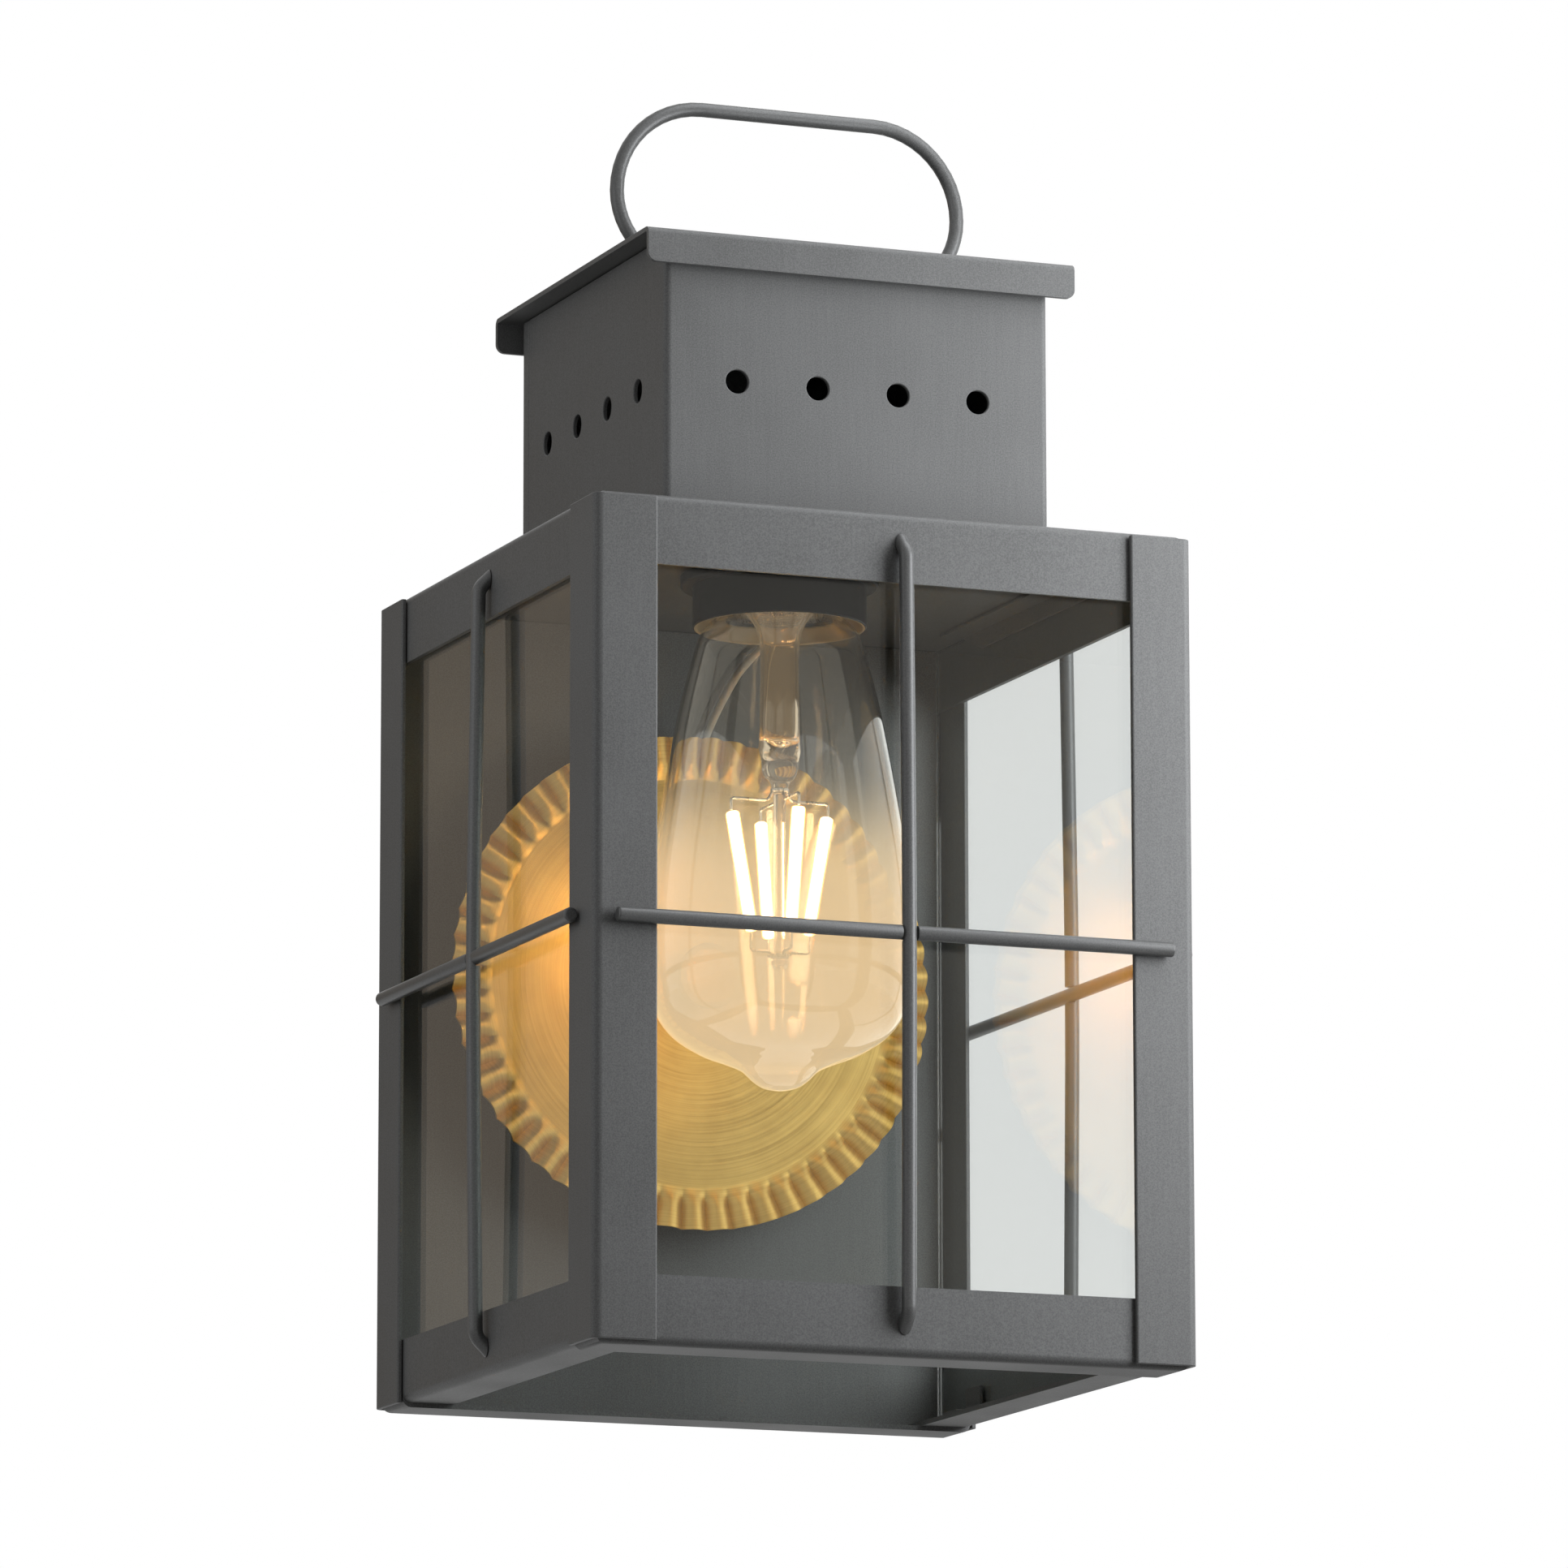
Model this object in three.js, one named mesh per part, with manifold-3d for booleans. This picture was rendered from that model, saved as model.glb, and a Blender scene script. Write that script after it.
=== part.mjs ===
// Outdoor wall sconce in the form of a square station lantern.
// Millimetres, +Z up, +X to the right, +Y into the wall.
// The origin is on the wall, in the middle of the mounting strap's rear face and on the reflector's axis.
// The lantern is drawn from its bottom edge up and then lowered by the height of that axis.

import * as THREE from 'three';
import Module from 'manifold-3d';
import { mergeVertices } from 'three/addons/utils/BufferGeometryUtils.js';

const wasm = await Module();
wasm.setup();

// Body: four folded corner posts lapped over a roof tray and a bottom frame
const bodyWidth = 152.4;
const bodyDepth = 152.4;
const bodyHeight = 201;
const postSheet = 1.2;
const postFrontLeg = 15.8;
const postSideLeg = 17;
const postBend = 2.2;
const postEdgeRound = 0.9;
const postEndGap = 1;
const fitGap = 0.3;
const traySheet = 1.2;
const trayBend = 2.2;
const topRailHeight = 16.9;
const bottomRailHeight = 16.5;
const bottomFlange = 16.5;
const sideFlange = 13.2;
const flangeSink = 0.05;
const panelSheet = 1.2;

// Glass and the sheet-metal clips that hold it
const paneThickness = 2.4;
const clipSheet = 0.8;
const clipWidth = 9;
const clipLeg = 7;
const clipInset = 30;
const retainerLength = 101.6;
const retainerDrop = 5.1;
const retainerSlant = 10.5;

// Chimney, lid and carrying handle
const chimneyWidth = 99;
const chimneyDepth = 99;
const chimneyForward = 2.6;
const chimneyHeight = 67.6;
const chimneySheet = 1.2;
const chimneyBend = 1.7;
const chimneySeam = 5;
const ventDiameter = 5.8;
const ventCount = 4;
const ventPitch = 20.7;
const ventHeight = 33.7;
const lidOverhangSide = 5.65;
const lidOverhangFront = 3.6;
const lidSheet = 1.2;
const lidLip = 8.6;
const lidBend = 1.7;
const lidCorner = 2.2;
const handleWidth = 92.9;
const handleRise = 44.6;
const handleTopBend = 22.05;
const handleFoot = 8;
const handleForward = 4.2;

// Guard bars of round rod in front of each pane
const rodDiameter = 3.5;
const rodChamfer = 0.6;
const crossBarHeight = 99.7;
const sideCrossBarRise = 1.3;
const frontCrossBarInset = 5.7;
const sideCrossBarInset = 9.6;
const frontCrossBarShift = -0.8;
const frontUprightShift = 1.9;
const uprightTopInset = 5;
const uprightBottomInset = 5.2;
const uprightStandOff = 1.3;
const uprightSpring = 1.1;
const uprightBend = 4;

// Lampholder hung from the roof
const cupDiameter = 42.4;
const cupWall = 1;
const cupHeight = 12.7;
const cupFlangeDiameter = 48.4;
const cupFlangeThickness = 2.7;
const cupShoulder = 1.2;
const porcelainDiameter = 34;
const porcelainHeight = 30;
const porcelainTop = 3;
const porcelainRim = 4;
const shellBore = 27.2;
const shellWall = 0.6;
const shellLength = 24;
const contactDiameter = 9;
const bracketSheet = 1.2;
const bracketWidth = 14;
const bracketFoot = 11;
const bracketClearance = 5.8;
const nippleDiameter = 9.8;
const nippleBore = 6.4;
const nippleLength = 16;
const nutAcrossFlats = 15;
const nutThickness = 4;
const terminalHead = 5.6;
const terminalLength = 2.2;
const terminalAngle = 35;
const terminalDrop = 7;

// Clear filament lamp with a screw base
const lampDiameter = 64.4;
const lampLength = 144.7;
const lampWall = 0.9;
const capDiameter = 26.4;
const capLength = 22;
const capWall = 0.5;
const capShoulder = 2;
const capShoulderInset = 3;
const capInsulator = 2.7;
const capContactHeight = 1.7;
const stemDiameter = 9.6;
const rodGlassDiameter = 3;
const neckHeight = 4;
const stemSeat = 3;
const stemFlare = 8;
const stemPinchHeight = 154;
const pinchRise = 8;
const pinchDrop = 3;
const beadRadius = 2.1;
const beadLength = 3.1;
const supportDrop = 10;
const supportRadius = 12.4;
const hookDrop = 7.1;
const hookRise = 2.6;
const hookRadius = 7.3;
const wireDiameter = 1.2;
const filamentDiameter = 2;
const filamentDrop = 3.2;
const filamentLength = 29.2;

// Reflector, its knob and the wall fixing
const reflectorHeight = 108.2;
const reflectorStand = 18;
const reflectorSheet = 0.8;
const reflectorDiameter = 123.4;
const reflectorFlatDiameter = 101.8;
const crimpCount = 57;
const crimpDepth = 1.5;
const crimpRunIn = 4;
const reflectorDish = 1.2;
const panDiameter = 88;
const panSheet = 1;
const panFlange = 8;
const panFillet = 3;
const panWireHole = 9;
const knobDiameter = 17;
const knobHead = 2.6;
const knobNeckDiameter = 12;
const knobHeight = 10;
const knobWall = 3.2;
const strapSheet = 1.5;
const strapWidth = 18;
const strapLength = 80;
const strapSlotLength = 14;
const strapSlotWidth = 5;
const strapSlotSpacing = 54;
const groundScrewHead = 7;
const groundScrewHeight = 2.4;
const groundScrewOffset = 15;

// Leads from the lampholder to the connectors behind the reflector
const leadDiameter = 2.2;
const leadSpacing = 3.2;
const leadHoleOffset = 12;
const leadHoleFromChimneyBack = 8;
const leadRoofRise = 8;
const leadHoleRise = 3;
const leadHoleDrop = 6;
const leadElbowDrop = 17;
const leadPanRise = 12;
const leadPanDrop = 8;
const leadSpread = 2;
const leadConnectorRise = 16;
const grommetWall = 1.4;
const grommetLip = 1;
const connectorDiameter = 9;
const connectorLength = 17;
const connectorSpacing = 40;

const circleSteps = 32;
const glassSteps = 22;

const finishes = {
  graphite: new THREE.MeshStandardMaterial({ color: 0x5c5c5b, roughness: 0.55, metalness: 0.6 }),
  glass: new THREE.MeshStandardMaterial({ color: 0xdfe6e6, roughness: 0.05, transparent: true, opacity: 0.3 }),
  blackMetal: new THREE.MeshStandardMaterial({ color: 0x2f2f30, roughness: 0.6, metalness: 0.4 }),
  porcelain: new THREE.MeshStandardMaterial({ color: 0xf1ece0, roughness: 0.3 }),
  brass: new THREE.MeshStandardMaterial({ color: 0xd9b45e, roughness: 0.35, metalness: 1 }),
  nickel: new THREE.MeshStandardMaterial({ color: 0xb9b6ae, roughness: 0.3, metalness: 1 }),
  zinc: new THREE.MeshStandardMaterial({ color: 0xa7a8a6, roughness: 0.4, metalness: 1 }),
  filament: new THREE.MeshStandardMaterial({ color: 0xffd99a, emissive: 0xffc878, roughness: 0.5 }),
  blackRubber: new THREE.MeshStandardMaterial({ color: 0x1c1c1c, roughness: 0.8 }),
  blackLead: new THREE.MeshStandardMaterial({ color: 0x222222, roughness: 0.6 }),
  whiteLead: new THREE.MeshStandardMaterial({ color: 0xe6e2d8, roughness: 0.6 }),
  connector: new THREE.MeshStandardMaterial({ color: 0xc9772b, roughness: 0.5 }),
  green: new THREE.MeshStandardMaterial({ color: 0x2f7d44, roughness: 0.45, metalness: 0.5 }),
};

// Solids and joins

function toSolid(geometry) {
  const bare = geometry.clone();
  bare.deleteAttribute('normal');
  bare.deleteAttribute('uv');
  const merged = mergeVertices(bare, 1e-4);
  const corners = merged.index.array;
  const kept = [];
  for (let i = 0; i < corners.length; i += 3) {
    const [a, b, c] = [corners[i], corners[i + 1], corners[i + 2]];
    if (a !== b && b !== c && c !== a) kept.push(a, b, c);
  }
  return new wasm.Manifold(new wasm.Mesh({
    numProp: 3,
    vertProperties: Float32Array.from(merged.attributes.position.array),
    triVerts: Uint32Array.from(kept),
  }));
}

function toGeometry(solid) {
  const result = solid.getMesh();
  const geometry = new THREE.BufferGeometry();
  geometry.setAttribute('position', new THREE.BufferAttribute(Float32Array.from(result.vertProperties), 3));
  geometry.setIndex(new THREE.BufferAttribute(Uint32Array.from(result.triVerts), 1));
  geometry.computeVertexNormals();
  return geometry;
}

function cut(base, ...tools) {
  let solid = toSolid(base);
  for (const tool of tools) solid = solid.subtract(toSolid(tool));
  return toGeometry(solid);
}

function common(first, second) {
  return toGeometry(toSolid(first).intersect(toSolid(second)));
}

function joined(...parts) {
  let solid = toSolid(parts[0]);
  for (const part of parts.slice(1)) solid = solid.add(toSolid(part));
  return toGeometry(solid);
}

// Basic shapes, each placed in its group's own frame

function block(xLow, xHigh, yLow, yHigh, zLow, zHigh) {
  const geometry = new THREE.BoxGeometry(xHigh - xLow, yHigh - yLow, zHigh - zLow);
  return geometry.translate((xLow + xHigh) / 2, (yLow + yHigh) / 2, (zLow + zHigh) / 2);
}

function arc(centreX, centreY, radius, fromDegrees, toDegrees, steps) {
  const points = [];
  for (let i = 0; i <= steps; i += 1) {
    const angle = THREE.MathUtils.degToRad(fromDegrees + (toDegrees - fromDegrees) * i / steps);
    points.push(new THREE.Vector2(centreX + radius * Math.cos(angle), centreY + radius * Math.sin(angle)));
  }
  return points;
}

function extruded(points, length) {
  return new THREE.ExtrudeGeometry(new THREE.Shape(points), { depth: length, bevelEnabled: false });
}

// An outline of (x, y) points carried up from zLow to zHigh
function raised(points, zLow, zHigh) {
  return extruded(points, zHigh - zLow).translate(0, 0, zLow);
}

// An outline of (x, z) points carried from yLow to yHigh
function alongY(points, yLow, yHigh) {
  return extruded(points, yHigh - yLow).rotateX(Math.PI / 2).translate(0, yHigh, 0);
}

// An outline of (y, z) points carried from xLow to xHigh
function alongX(points, xLow, xHigh) {
  const turn = new THREE.Matrix4().makeBasis(
    new THREE.Vector3(0, 1, 0),
    new THREE.Vector3(0, 0, 1),
    new THREE.Vector3(1, 0, 0),
  );
  return extruded(points, xHigh - xLow).applyMatrix4(turn).translate(xLow, 0, 0);
}

// A ring or disc turned about +Y from closed (radius, y) points, or from points that start and end on the axis
function turnedAboutY(profile, steps = circleSteps) {
  const points = profile.map(([radius, height]) => new THREE.Vector2(radius, height));
  const onAxis = points[0].x === 0 && points[points.length - 1].x === 0;
  if (!onAxis) points.push(points[0].clone());
  if (THREE.ShapeUtils.area(points) < 0) points.reverse();
  return new THREE.LatheGeometry(points, steps);
}

function turnedAboutZ(profile, steps = circleSteps) {
  return turnedAboutY(profile, steps).rotateX(Math.PI / 2);
}

function ring(outerRadius, innerRadius, low, high) {
  return [[innerRadius, low], [outerRadius, low], [outerRadius, high], [innerRadius, high]];
}

function disc(radius, low, high) {
  return [[0, low], [radius, low], [radius, high], [0, high]];
}

// A round rod through a list of points, with one ring of vertices at each
class Route extends THREE.Curve {
  constructor(points) {
    super();
    this.points = points;
  }

  getPointAt(share) {
    return this.points[Math.round(share * (this.points.length - 1))].clone();
  }

  getTangentAt(share) {
    const index = Math.round(share * (this.points.length - 1));
    const before = this.points[Math.max(index - 1, 0)];
    const after = this.points[Math.min(index + 1, this.points.length - 1)];
    const here = this.points[index];
    const arriving = here.clone().sub(before).normalize();
    const leaving = after.clone().sub(here).normalize();
    return arriving.add(leaving).normalize();
  }
}

function rod(points, diameter, sides) {
  const section = new THREE.Shape(arc(0, 0, diameter / 2, 0, 360 - 360 / sides, sides - 1));
  const path = new Route(points);
  return new THREE.ExtrudeGeometry(section, { steps: points.length - 1, extrudePath: path, bevelEnabled: false });
}

// A smooth lead through chosen points
function lead(points, diameter, steps, sides) {
  const curve = new THREE.CatmullRomCurve3(points, false, 'centripetal');
  return rod(curve.getSpacedPoints(steps), diameter, sides);
}

function hexagon(acrossFlats) {
  return arc(0, 0, acrossFlats / Math.sqrt(3), 0, 300, 5);
}

function piece(group, name, geometry, finish) {
  const mesh = new THREE.Mesh(geometry, finish);
  mesh.name = name;
  group.add(mesh);
  return mesh;
}

const sconce = new THREE.Group();
const lantern = new THREE.Group();
lantern.position.z = -reflectorHeight;
sconce.add(lantern);

// Levels and faces that the pieces share
const halfWidth = bodyWidth / 2;
const bodyCentreY = -bodyDepth / 2;
const railInset = postSheet + fitGap;
const paneInset = railInset + traySheet + fitGap;
const floorTop = traySheet + fitGap;
const sideFloorTop = floorTop + traySheet - flangeSink;
const ceiling = bodyHeight - traySheet - fitGap;
const paneHalfX = halfWidth - paneInset;
const panelFront = -paneInset - panelSheet;
const paneFrontY = -bodyDepth + paneInset;
const sidePaneFrontY = paneFrontY + paneThickness + fitGap;
const sidePaneBackY = panelFront - fitGap;

// Corner posts

function anglePost(cornerX, cornerY, legX, legY) {
  const outline = [];
  const signX = Math.sign(legX);
  const signY = Math.sign(legY);
  const place = (u, v) => new THREE.Vector2(cornerX + signX * u, cornerY + signY * v);
  const reachX = Math.abs(legX);
  const reachY = Math.abs(legY);
  const inner = postBend - postSheet;
  for (const p of arc(postBend, postBend, postBend, 270, 180, 4)) outline.push(place(p.x, p.y));
  for (const p of arc(postEdgeRound, reachY - postEdgeRound, postEdgeRound, 180, 90, 2)) outline.push(place(p.x, p.y));
  outline.push(place(postSheet, reachY));
  for (const p of arc(postBend, postBend, inner, 180, 270, 3)) outline.push(place(p.x, p.y));
  outline.push(place(reachX, postSheet));
  for (const p of arc(reachX - postEdgeRound, postEdgeRound, postEdgeRound, 0, -90, 2)) outline.push(place(p.x, p.y));
  return raised(outline, postEndGap, bodyHeight - postEndGap);
}

const bodyGroup = new THREE.Group();
lantern.add(bodyGroup);
for (const [side, sign] of [['left', -1], ['right', 1]]) {
  const cornerX = sign * halfWidth;
  const frontPost = anglePost(cornerX, -bodyDepth, -sign * postFrontLeg, postSideLeg);
  piece(bodyGroup, `front_${side}_post`, frontPost, finishes.graphite);
  const rearPost = anglePost(cornerX, 0, -sign * postFrontLeg, -postSideLeg);
  piece(bodyGroup, `rear_${side}_post`, rearPost, finishes.graphite);
}

// Roof tray and bottom frame: a flat with rails folded off all four edges

function channelOutline(low, high, flat, open, bend) {
  const toOpen = Math.sign(open - flat);
  const outline = [new THREE.Vector2(low, open)];
  for (const p of arc(bend, bend, bend, 180, 270, 4)) outline.push(new THREE.Vector2(low + p.x, flat + toOpen * p.y));
  for (const p of arc(bend, bend, bend, 270, 180, 4)) outline.push(new THREE.Vector2(high - p.x, flat + toOpen * p.y));
  outline.push(new THREE.Vector2(high, open));
  return outline;
}

function foldedTray(flat, open, inset, bend) {
  const reach = Math.sign(open - flat);
  const halfX = halfWidth - railInset - inset;
  const backY = -railInset - inset;
  const frontY = -bodyDepth + railInset + inset;
  const start = flat + reach * inset;
  const end = open + reach * inset;
  const acrossX = alongY(channelOutline(-halfX, halfX, start, end, bend), frontY, backY);
  const acrossY = alongX(channelOutline(frontY, backY, start, end, bend), -halfX, halfX);
  return common(acrossX, acrossY);
}

function trayShell(flat, open) {
  return cut(foldedTray(flat, open, 0, trayBend), foldedTray(flat, open, traySheet, trayBend - traySheet));
}

const lampY = bodyCentreY;
const chimneyCentreY = bodyCentreY - chimneyForward;
const chimneyBackY = chimneyCentreY + chimneyDepth / 2;
const leadHoleY = chimneyBackY - leadHoleFromChimneyBack;
const grommetBore = 2 * (leadSpacing / 2 + leadDiameter / 2 + fitGap);
const grommetDiameter = grommetBore + 2 * grommetWall;
const roofHoleRadius = porcelainDiameter / 2 + 2 * fitGap;

function roofTray() {
  const below = bodyHeight - topRailHeight;
  const lampHole = turnedAboutZ(disc(roofHoleRadius, below, bodyHeight + traySheet)).translate(0, lampY, 0);
  const leadHoleRadius = grommetDiameter / 2 + fitGap;
  const leadHole = turnedAboutZ(disc(leadHoleRadius, below, bodyHeight + traySheet), 20);
  leadHole.translate(leadHoleOffset, leadHoleY, 0);
  return cut(trayShell(bodyHeight, below), lampHole, leadHole);
}

// The side flanges lie on the ends of the front and rear ones, one sheet higher
const sideFlangeLow = traySheet - flangeSink;

function bottomFrame() {
  const backY = -railInset - bottomFlange;
  const frontY = -bodyDepth + railInset + bottomFlange;
  const mouth = block(-halfWidth, halfWidth, frontY, backY, -traySheet, 2 * bottomRailHeight);
  const ends = cut(trayShell(0, bottomRailHeight), mouth);
  const halfX = halfWidth - railInset - sideFlange;
  const raisedShell = trayShell(sideFlangeLow, bottomRailHeight);
  const left = block(-halfWidth, -halfX, sidePaneFrontY, sidePaneBackY, 0, 2 * bottomRailHeight);
  const right = block(halfX, halfWidth, sidePaneFrontY, sidePaneBackY, 0, 2 * bottomRailHeight);
  return joined(ends, common(raisedShell, left), common(raisedShell, right));
}

piece(bodyGroup, 'roof_tray', roofTray(), finishes.graphite);
piece(bodyGroup, 'bottom_frame', bottomFrame(), finishes.graphite);

// Back panel with the round opening for the wiring pan

const panInnerRadius = panDiameter / 2 - panSheet;
const backSheet = block(-paneHalfX, paneHalfX, panelFront, -paneInset, floorTop, ceiling);
const panelHole = turnedAboutY(disc(panInnerRadius, 2 * panelFront, 0), 40).translate(0, 0, reflectorHeight);
piece(bodyGroup, 'back_panel', cut(backSheet, panelHole), finishes.graphite);

// Three panes and their clips

const frontPane = block(-paneHalfX, paneHalfX, paneFrontY, paneFrontY + paneThickness, floorTop, ceiling);
piece(bodyGroup, 'front_pane', frontPane, finishes.glass);
for (const [side, sign] of [['left', -1], ['right', 1]]) {
  const outer = sign * paneHalfX;
  const inner = sign * (paneHalfX - paneThickness);
  const xLow = Math.min(outer, inner);
  const xHigh = Math.max(outer, inner);
  const pane = block(xLow, xHigh, sidePaneFrontY, sidePaneBackY, sideFloorTop, ceiling);
  piece(bodyGroup, `${side}_pane`, pane, finishes.glass);
}

// An L of sheet, made for a pane whose inner face is at y = 0 and looks towards +Y, then turned and moved
function angleStrip(level, drop, halfLength) {
  const down = Math.sign(drop);
  const points = [
    [fitGap, level],
    [fitGap + clipLeg, level],
    [fitGap + clipLeg, level + down * clipSheet],
    [fitGap + clipSheet, level + down * clipSheet],
    [fitGap + clipSheet, level + drop],
    [fitGap, level + drop],
  ].map(([u, v]) => new THREE.Vector2(u, v));
  return alongX(points, -halfLength, halfLength);
}

function paneClip(level) {
  return angleStrip(level, clipLeg, clipWidth / 2);
}

// The strip along the top of a pane has slanted ends
function paneRetainer() {
  const half = retainerLength / 2;
  const face = [
    [-half, ceiling],
    [-half, ceiling - clipSheet],
    [-half + retainerSlant, ceiling - retainerDrop],
    [half - retainerSlant, ceiling - retainerDrop],
    [half, ceiling - clipSheet],
    [half, ceiling],
  ].map(([u, v]) => new THREE.Vector2(u, v));
  return common(angleStrip(ceiling, -retainerDrop, half), alongY(face, 0, 2 * clipLeg));
}

const paneFaces = [
  { pane: 'front', turn: 0, x: 0, y: paneFrontY + paneThickness, level: floorTop },
  { pane: 'left', turn: -Math.PI / 2, x: -(paneHalfX - paneThickness), y: bodyCentreY, level: sideFloorTop },
  { pane: 'right', turn: Math.PI / 2, x: paneHalfX - paneThickness, y: bodyCentreY, level: sideFloorTop },
];
for (const { pane, turn, x, y, level } of paneFaces) {
  const spread = bodyWidth / 2 - clipInset;
  for (const [name, along] of [[`${pane}_pane_clip_a`, -spread], [`${pane}_pane_clip_b`, spread]]) {
    const clip = paneClip(level).translate(along, 0, 0).rotateZ(turn).translate(x, y, 0);
    piece(bodyGroup, name, clip, finishes.graphite);
  }
  const retainer = paneRetainer().rotateZ(turn).translate(x, y, 0);
  piece(bodyGroup, `${pane}_pane_retainer`, retainer, finishes.graphite);
}

// Chimney: a folded front and two sides, closed by a back with two short returns

const chimneyGroup = new THREE.Group();
chimneyGroup.position.set(0, chimneyCentreY, bodyHeight + fitGap);
lantern.add(chimneyGroup);
const chimneyHalfX = chimneyWidth / 2;
const chimneyHalfY = chimneyDepth / 2;

// A sheet folded round three sides of a rectangle that opens towards +Y and ends at y = openY
function foldedWrap(halfX, closedY, openY, sheet, bend) {
  const wall = (inset) => {
    const radius = bend - inset;
    const low = -halfX + inset;
    const outline = [new THREE.Vector2(low, openY)];
    for (const p of arc(low + radius, closedY + inset + radius, radius, 180, 270, 4)) outline.push(p);
    for (const p of arc(-low - radius, closedY + inset + radius, radius, 270, 360, 4)) outline.push(p);
    outline.push(new THREE.Vector2(-low, openY));
    return outline;
  };
  return raised([...wall(0), ...wall(sheet).reverse()], 0, chimneyHeight);
}

const wrapEndY = chimneyHalfY - chimneySeam - fitGap;
const ventTools = [];
for (let i = 0; i < ventCount; i += 1) {
  const along = (i - (ventCount - 1) / 2) * ventPitch;
  const radius = ventDiameter / 2;
  const depth = 2 * chimneySheet;
  const front = turnedAboutY(disc(radius, -chimneyHalfY - depth, -chimneyHalfY + depth), 16);
  ventTools.push(front.translate(along, 0, ventHeight));
  const sides = turnedAboutY(disc(radius, -chimneyHalfX - depth, chimneyHalfX + depth), 16).rotateZ(-Math.PI / 2);
  ventTools.push(sides.translate(0, along, ventHeight));
}
const wrapSheet = foldedWrap(chimneyHalfX, -chimneyHalfY, wrapEndY, chimneySheet, chimneyBend);
piece(chimneyGroup, 'chimney_wrap', cut(wrapSheet, ...ventTools), finishes.graphite);
const backFold = foldedWrap(chimneyHalfX, -chimneyHalfY, -chimneyHalfY + chimneySeam, chimneySheet, chimneyBend);
piece(chimneyGroup, 'chimney_back', backFold.rotateZ(Math.PI), finishes.graphite);

// Lid: a channel with its front and back edges turned down, resting on the chimney

const lidTop = chimneyHeight + fitGap + lidSheet;
const lidHalfX = chimneyHalfX + lidOverhangSide;
const lidHalfY = chimneyHalfY + lidOverhangFront;

function lidShape() {
  const outer = channelOutline(-lidHalfY, lidHalfY, lidTop, lidTop - lidLip, lidBend);
  const innerHalf = lidHalfY - lidSheet;
  const inner = channelOutline(-innerHalf, innerHalf, lidTop - lidSheet, lidTop - 2 * lidLip, lidBend - lidSheet);
  const channel = cut(alongX(outer, -lidHalfX, lidHalfX), alongX(inner, -2 * lidHalfX, 2 * lidHalfX));
  const low = lidTop - lidLip;
  const face = [
    new THREE.Vector2(lidHalfX, lidTop),
    new THREE.Vector2(-lidHalfX, lidTop),
    ...arc(-lidHalfX + lidCorner, low + lidCorner, lidCorner, 180, 270, 4),
    ...arc(lidHalfX - lidCorner, low + lidCorner, lidCorner, 270, 360, 4),
  ];
  return common(channel, alongY(face, -lidHalfY, lidHalfY));
}

piece(chimneyGroup, 'lid', lidShape(), finishes.graphite);

// Handle: one rod bent to a long loop, its two inturned feet lying on the lid

function handlePath() {
  const rodRadius = rodDiameter / 2;
  const halfSpan = handleWidth / 2 - rodRadius;
  const footZ = lidTop + fitGap + rodRadius;
  const topZ = lidTop + handleRise - rodRadius;
  const lowBend = topZ - footZ - handleTopBend;
  const half = [
    new THREE.Vector2(halfSpan - lowBend - handleFoot, footZ),
    ...arc(halfSpan - lowBend, footZ + lowBend, lowBend, -90, 0, 8),
    ...arc(halfSpan - handleTopBend, topZ - handleTopBend, handleTopBend, 0, 90, 9).slice(1),
  ];
  const right = half.map((p) => new THREE.Vector3(p.x, -handleForward, p.y));
  const left = half.map((p) => new THREE.Vector3(-p.x, -handleForward, p.y)).reverse();
  return [...right, ...left];
}

piece(chimneyGroup, 'handle', rod(handlePath(), rodDiameter, 12), finishes.graphite);

// Guard bars: made for the front face, then turned for the sides

const rodRadius = rodDiameter / 2;

function crossBar(halfLength) {
  const profile = [
    [0, -halfLength],
    [rodRadius - rodChamfer, -halfLength],
    [rodRadius, -halfLength + rodChamfer],
    [rodRadius, halfLength - rodChamfer],
    [rodRadius - rodChamfer, halfLength],
    [0, halfLength],
  ];
  return turnedAboutY(profile, 12).rotateZ(Math.PI / 2);
}

// The upright is sprung out a little where it crosses, and its ends turn in at 45 degrees to meet the rails
const railFace = fitGap - railInset;
const crossStandOff = fitGap + rodRadius;
const uprightCrossing = uprightStandOff + uprightSpring;
const lapLevel = (crossStandOff + uprightCrossing) / 2;

function uprightEnd(tip, way, steps) {
  const reach = uprightStandOff - railFace;
  const corner = tip - way * (Math.SQRT2 * rodRadius + reach);
  const setBack = uprightBend * Math.tan(Math.PI / 8);
  const bend = arc(uprightStandOff - uprightBend, corner - way * setBack, uprightBend, 0, way * 45, steps);
  const beyond = reach + rodDiameter;
  return [...bend, new THREE.Vector2(uprightStandOff - beyond, corner + way * beyond)];
}

function uprightBar(crossHeight) {
  const upper = uprightEnd(bodyHeight - uprightTopInset, 1, 4);
  const lower = uprightEnd(uprightBottomInset, -1, 4);
  const side = [...upper.reverse(), new THREE.Vector2(uprightCrossing, crossHeight), ...lower];
  const bar = rod(side.map((p) => new THREE.Vector3(0, -p.x, p.y)), rodDiameter, 12);
  const behind = block(-rodDiameter, rodDiameter, -railFace, 4 * rodDiameter, -rodDiameter, bodyHeight + rodDiameter);
  const half = rodRadius + fitGap;
  const lap = block(-rodDiameter, rodDiameter, -lapLevel - fitGap / 2, rodDiameter, crossHeight - half, crossHeight + half);
  return cut(bar, behind, lap);
}

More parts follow.
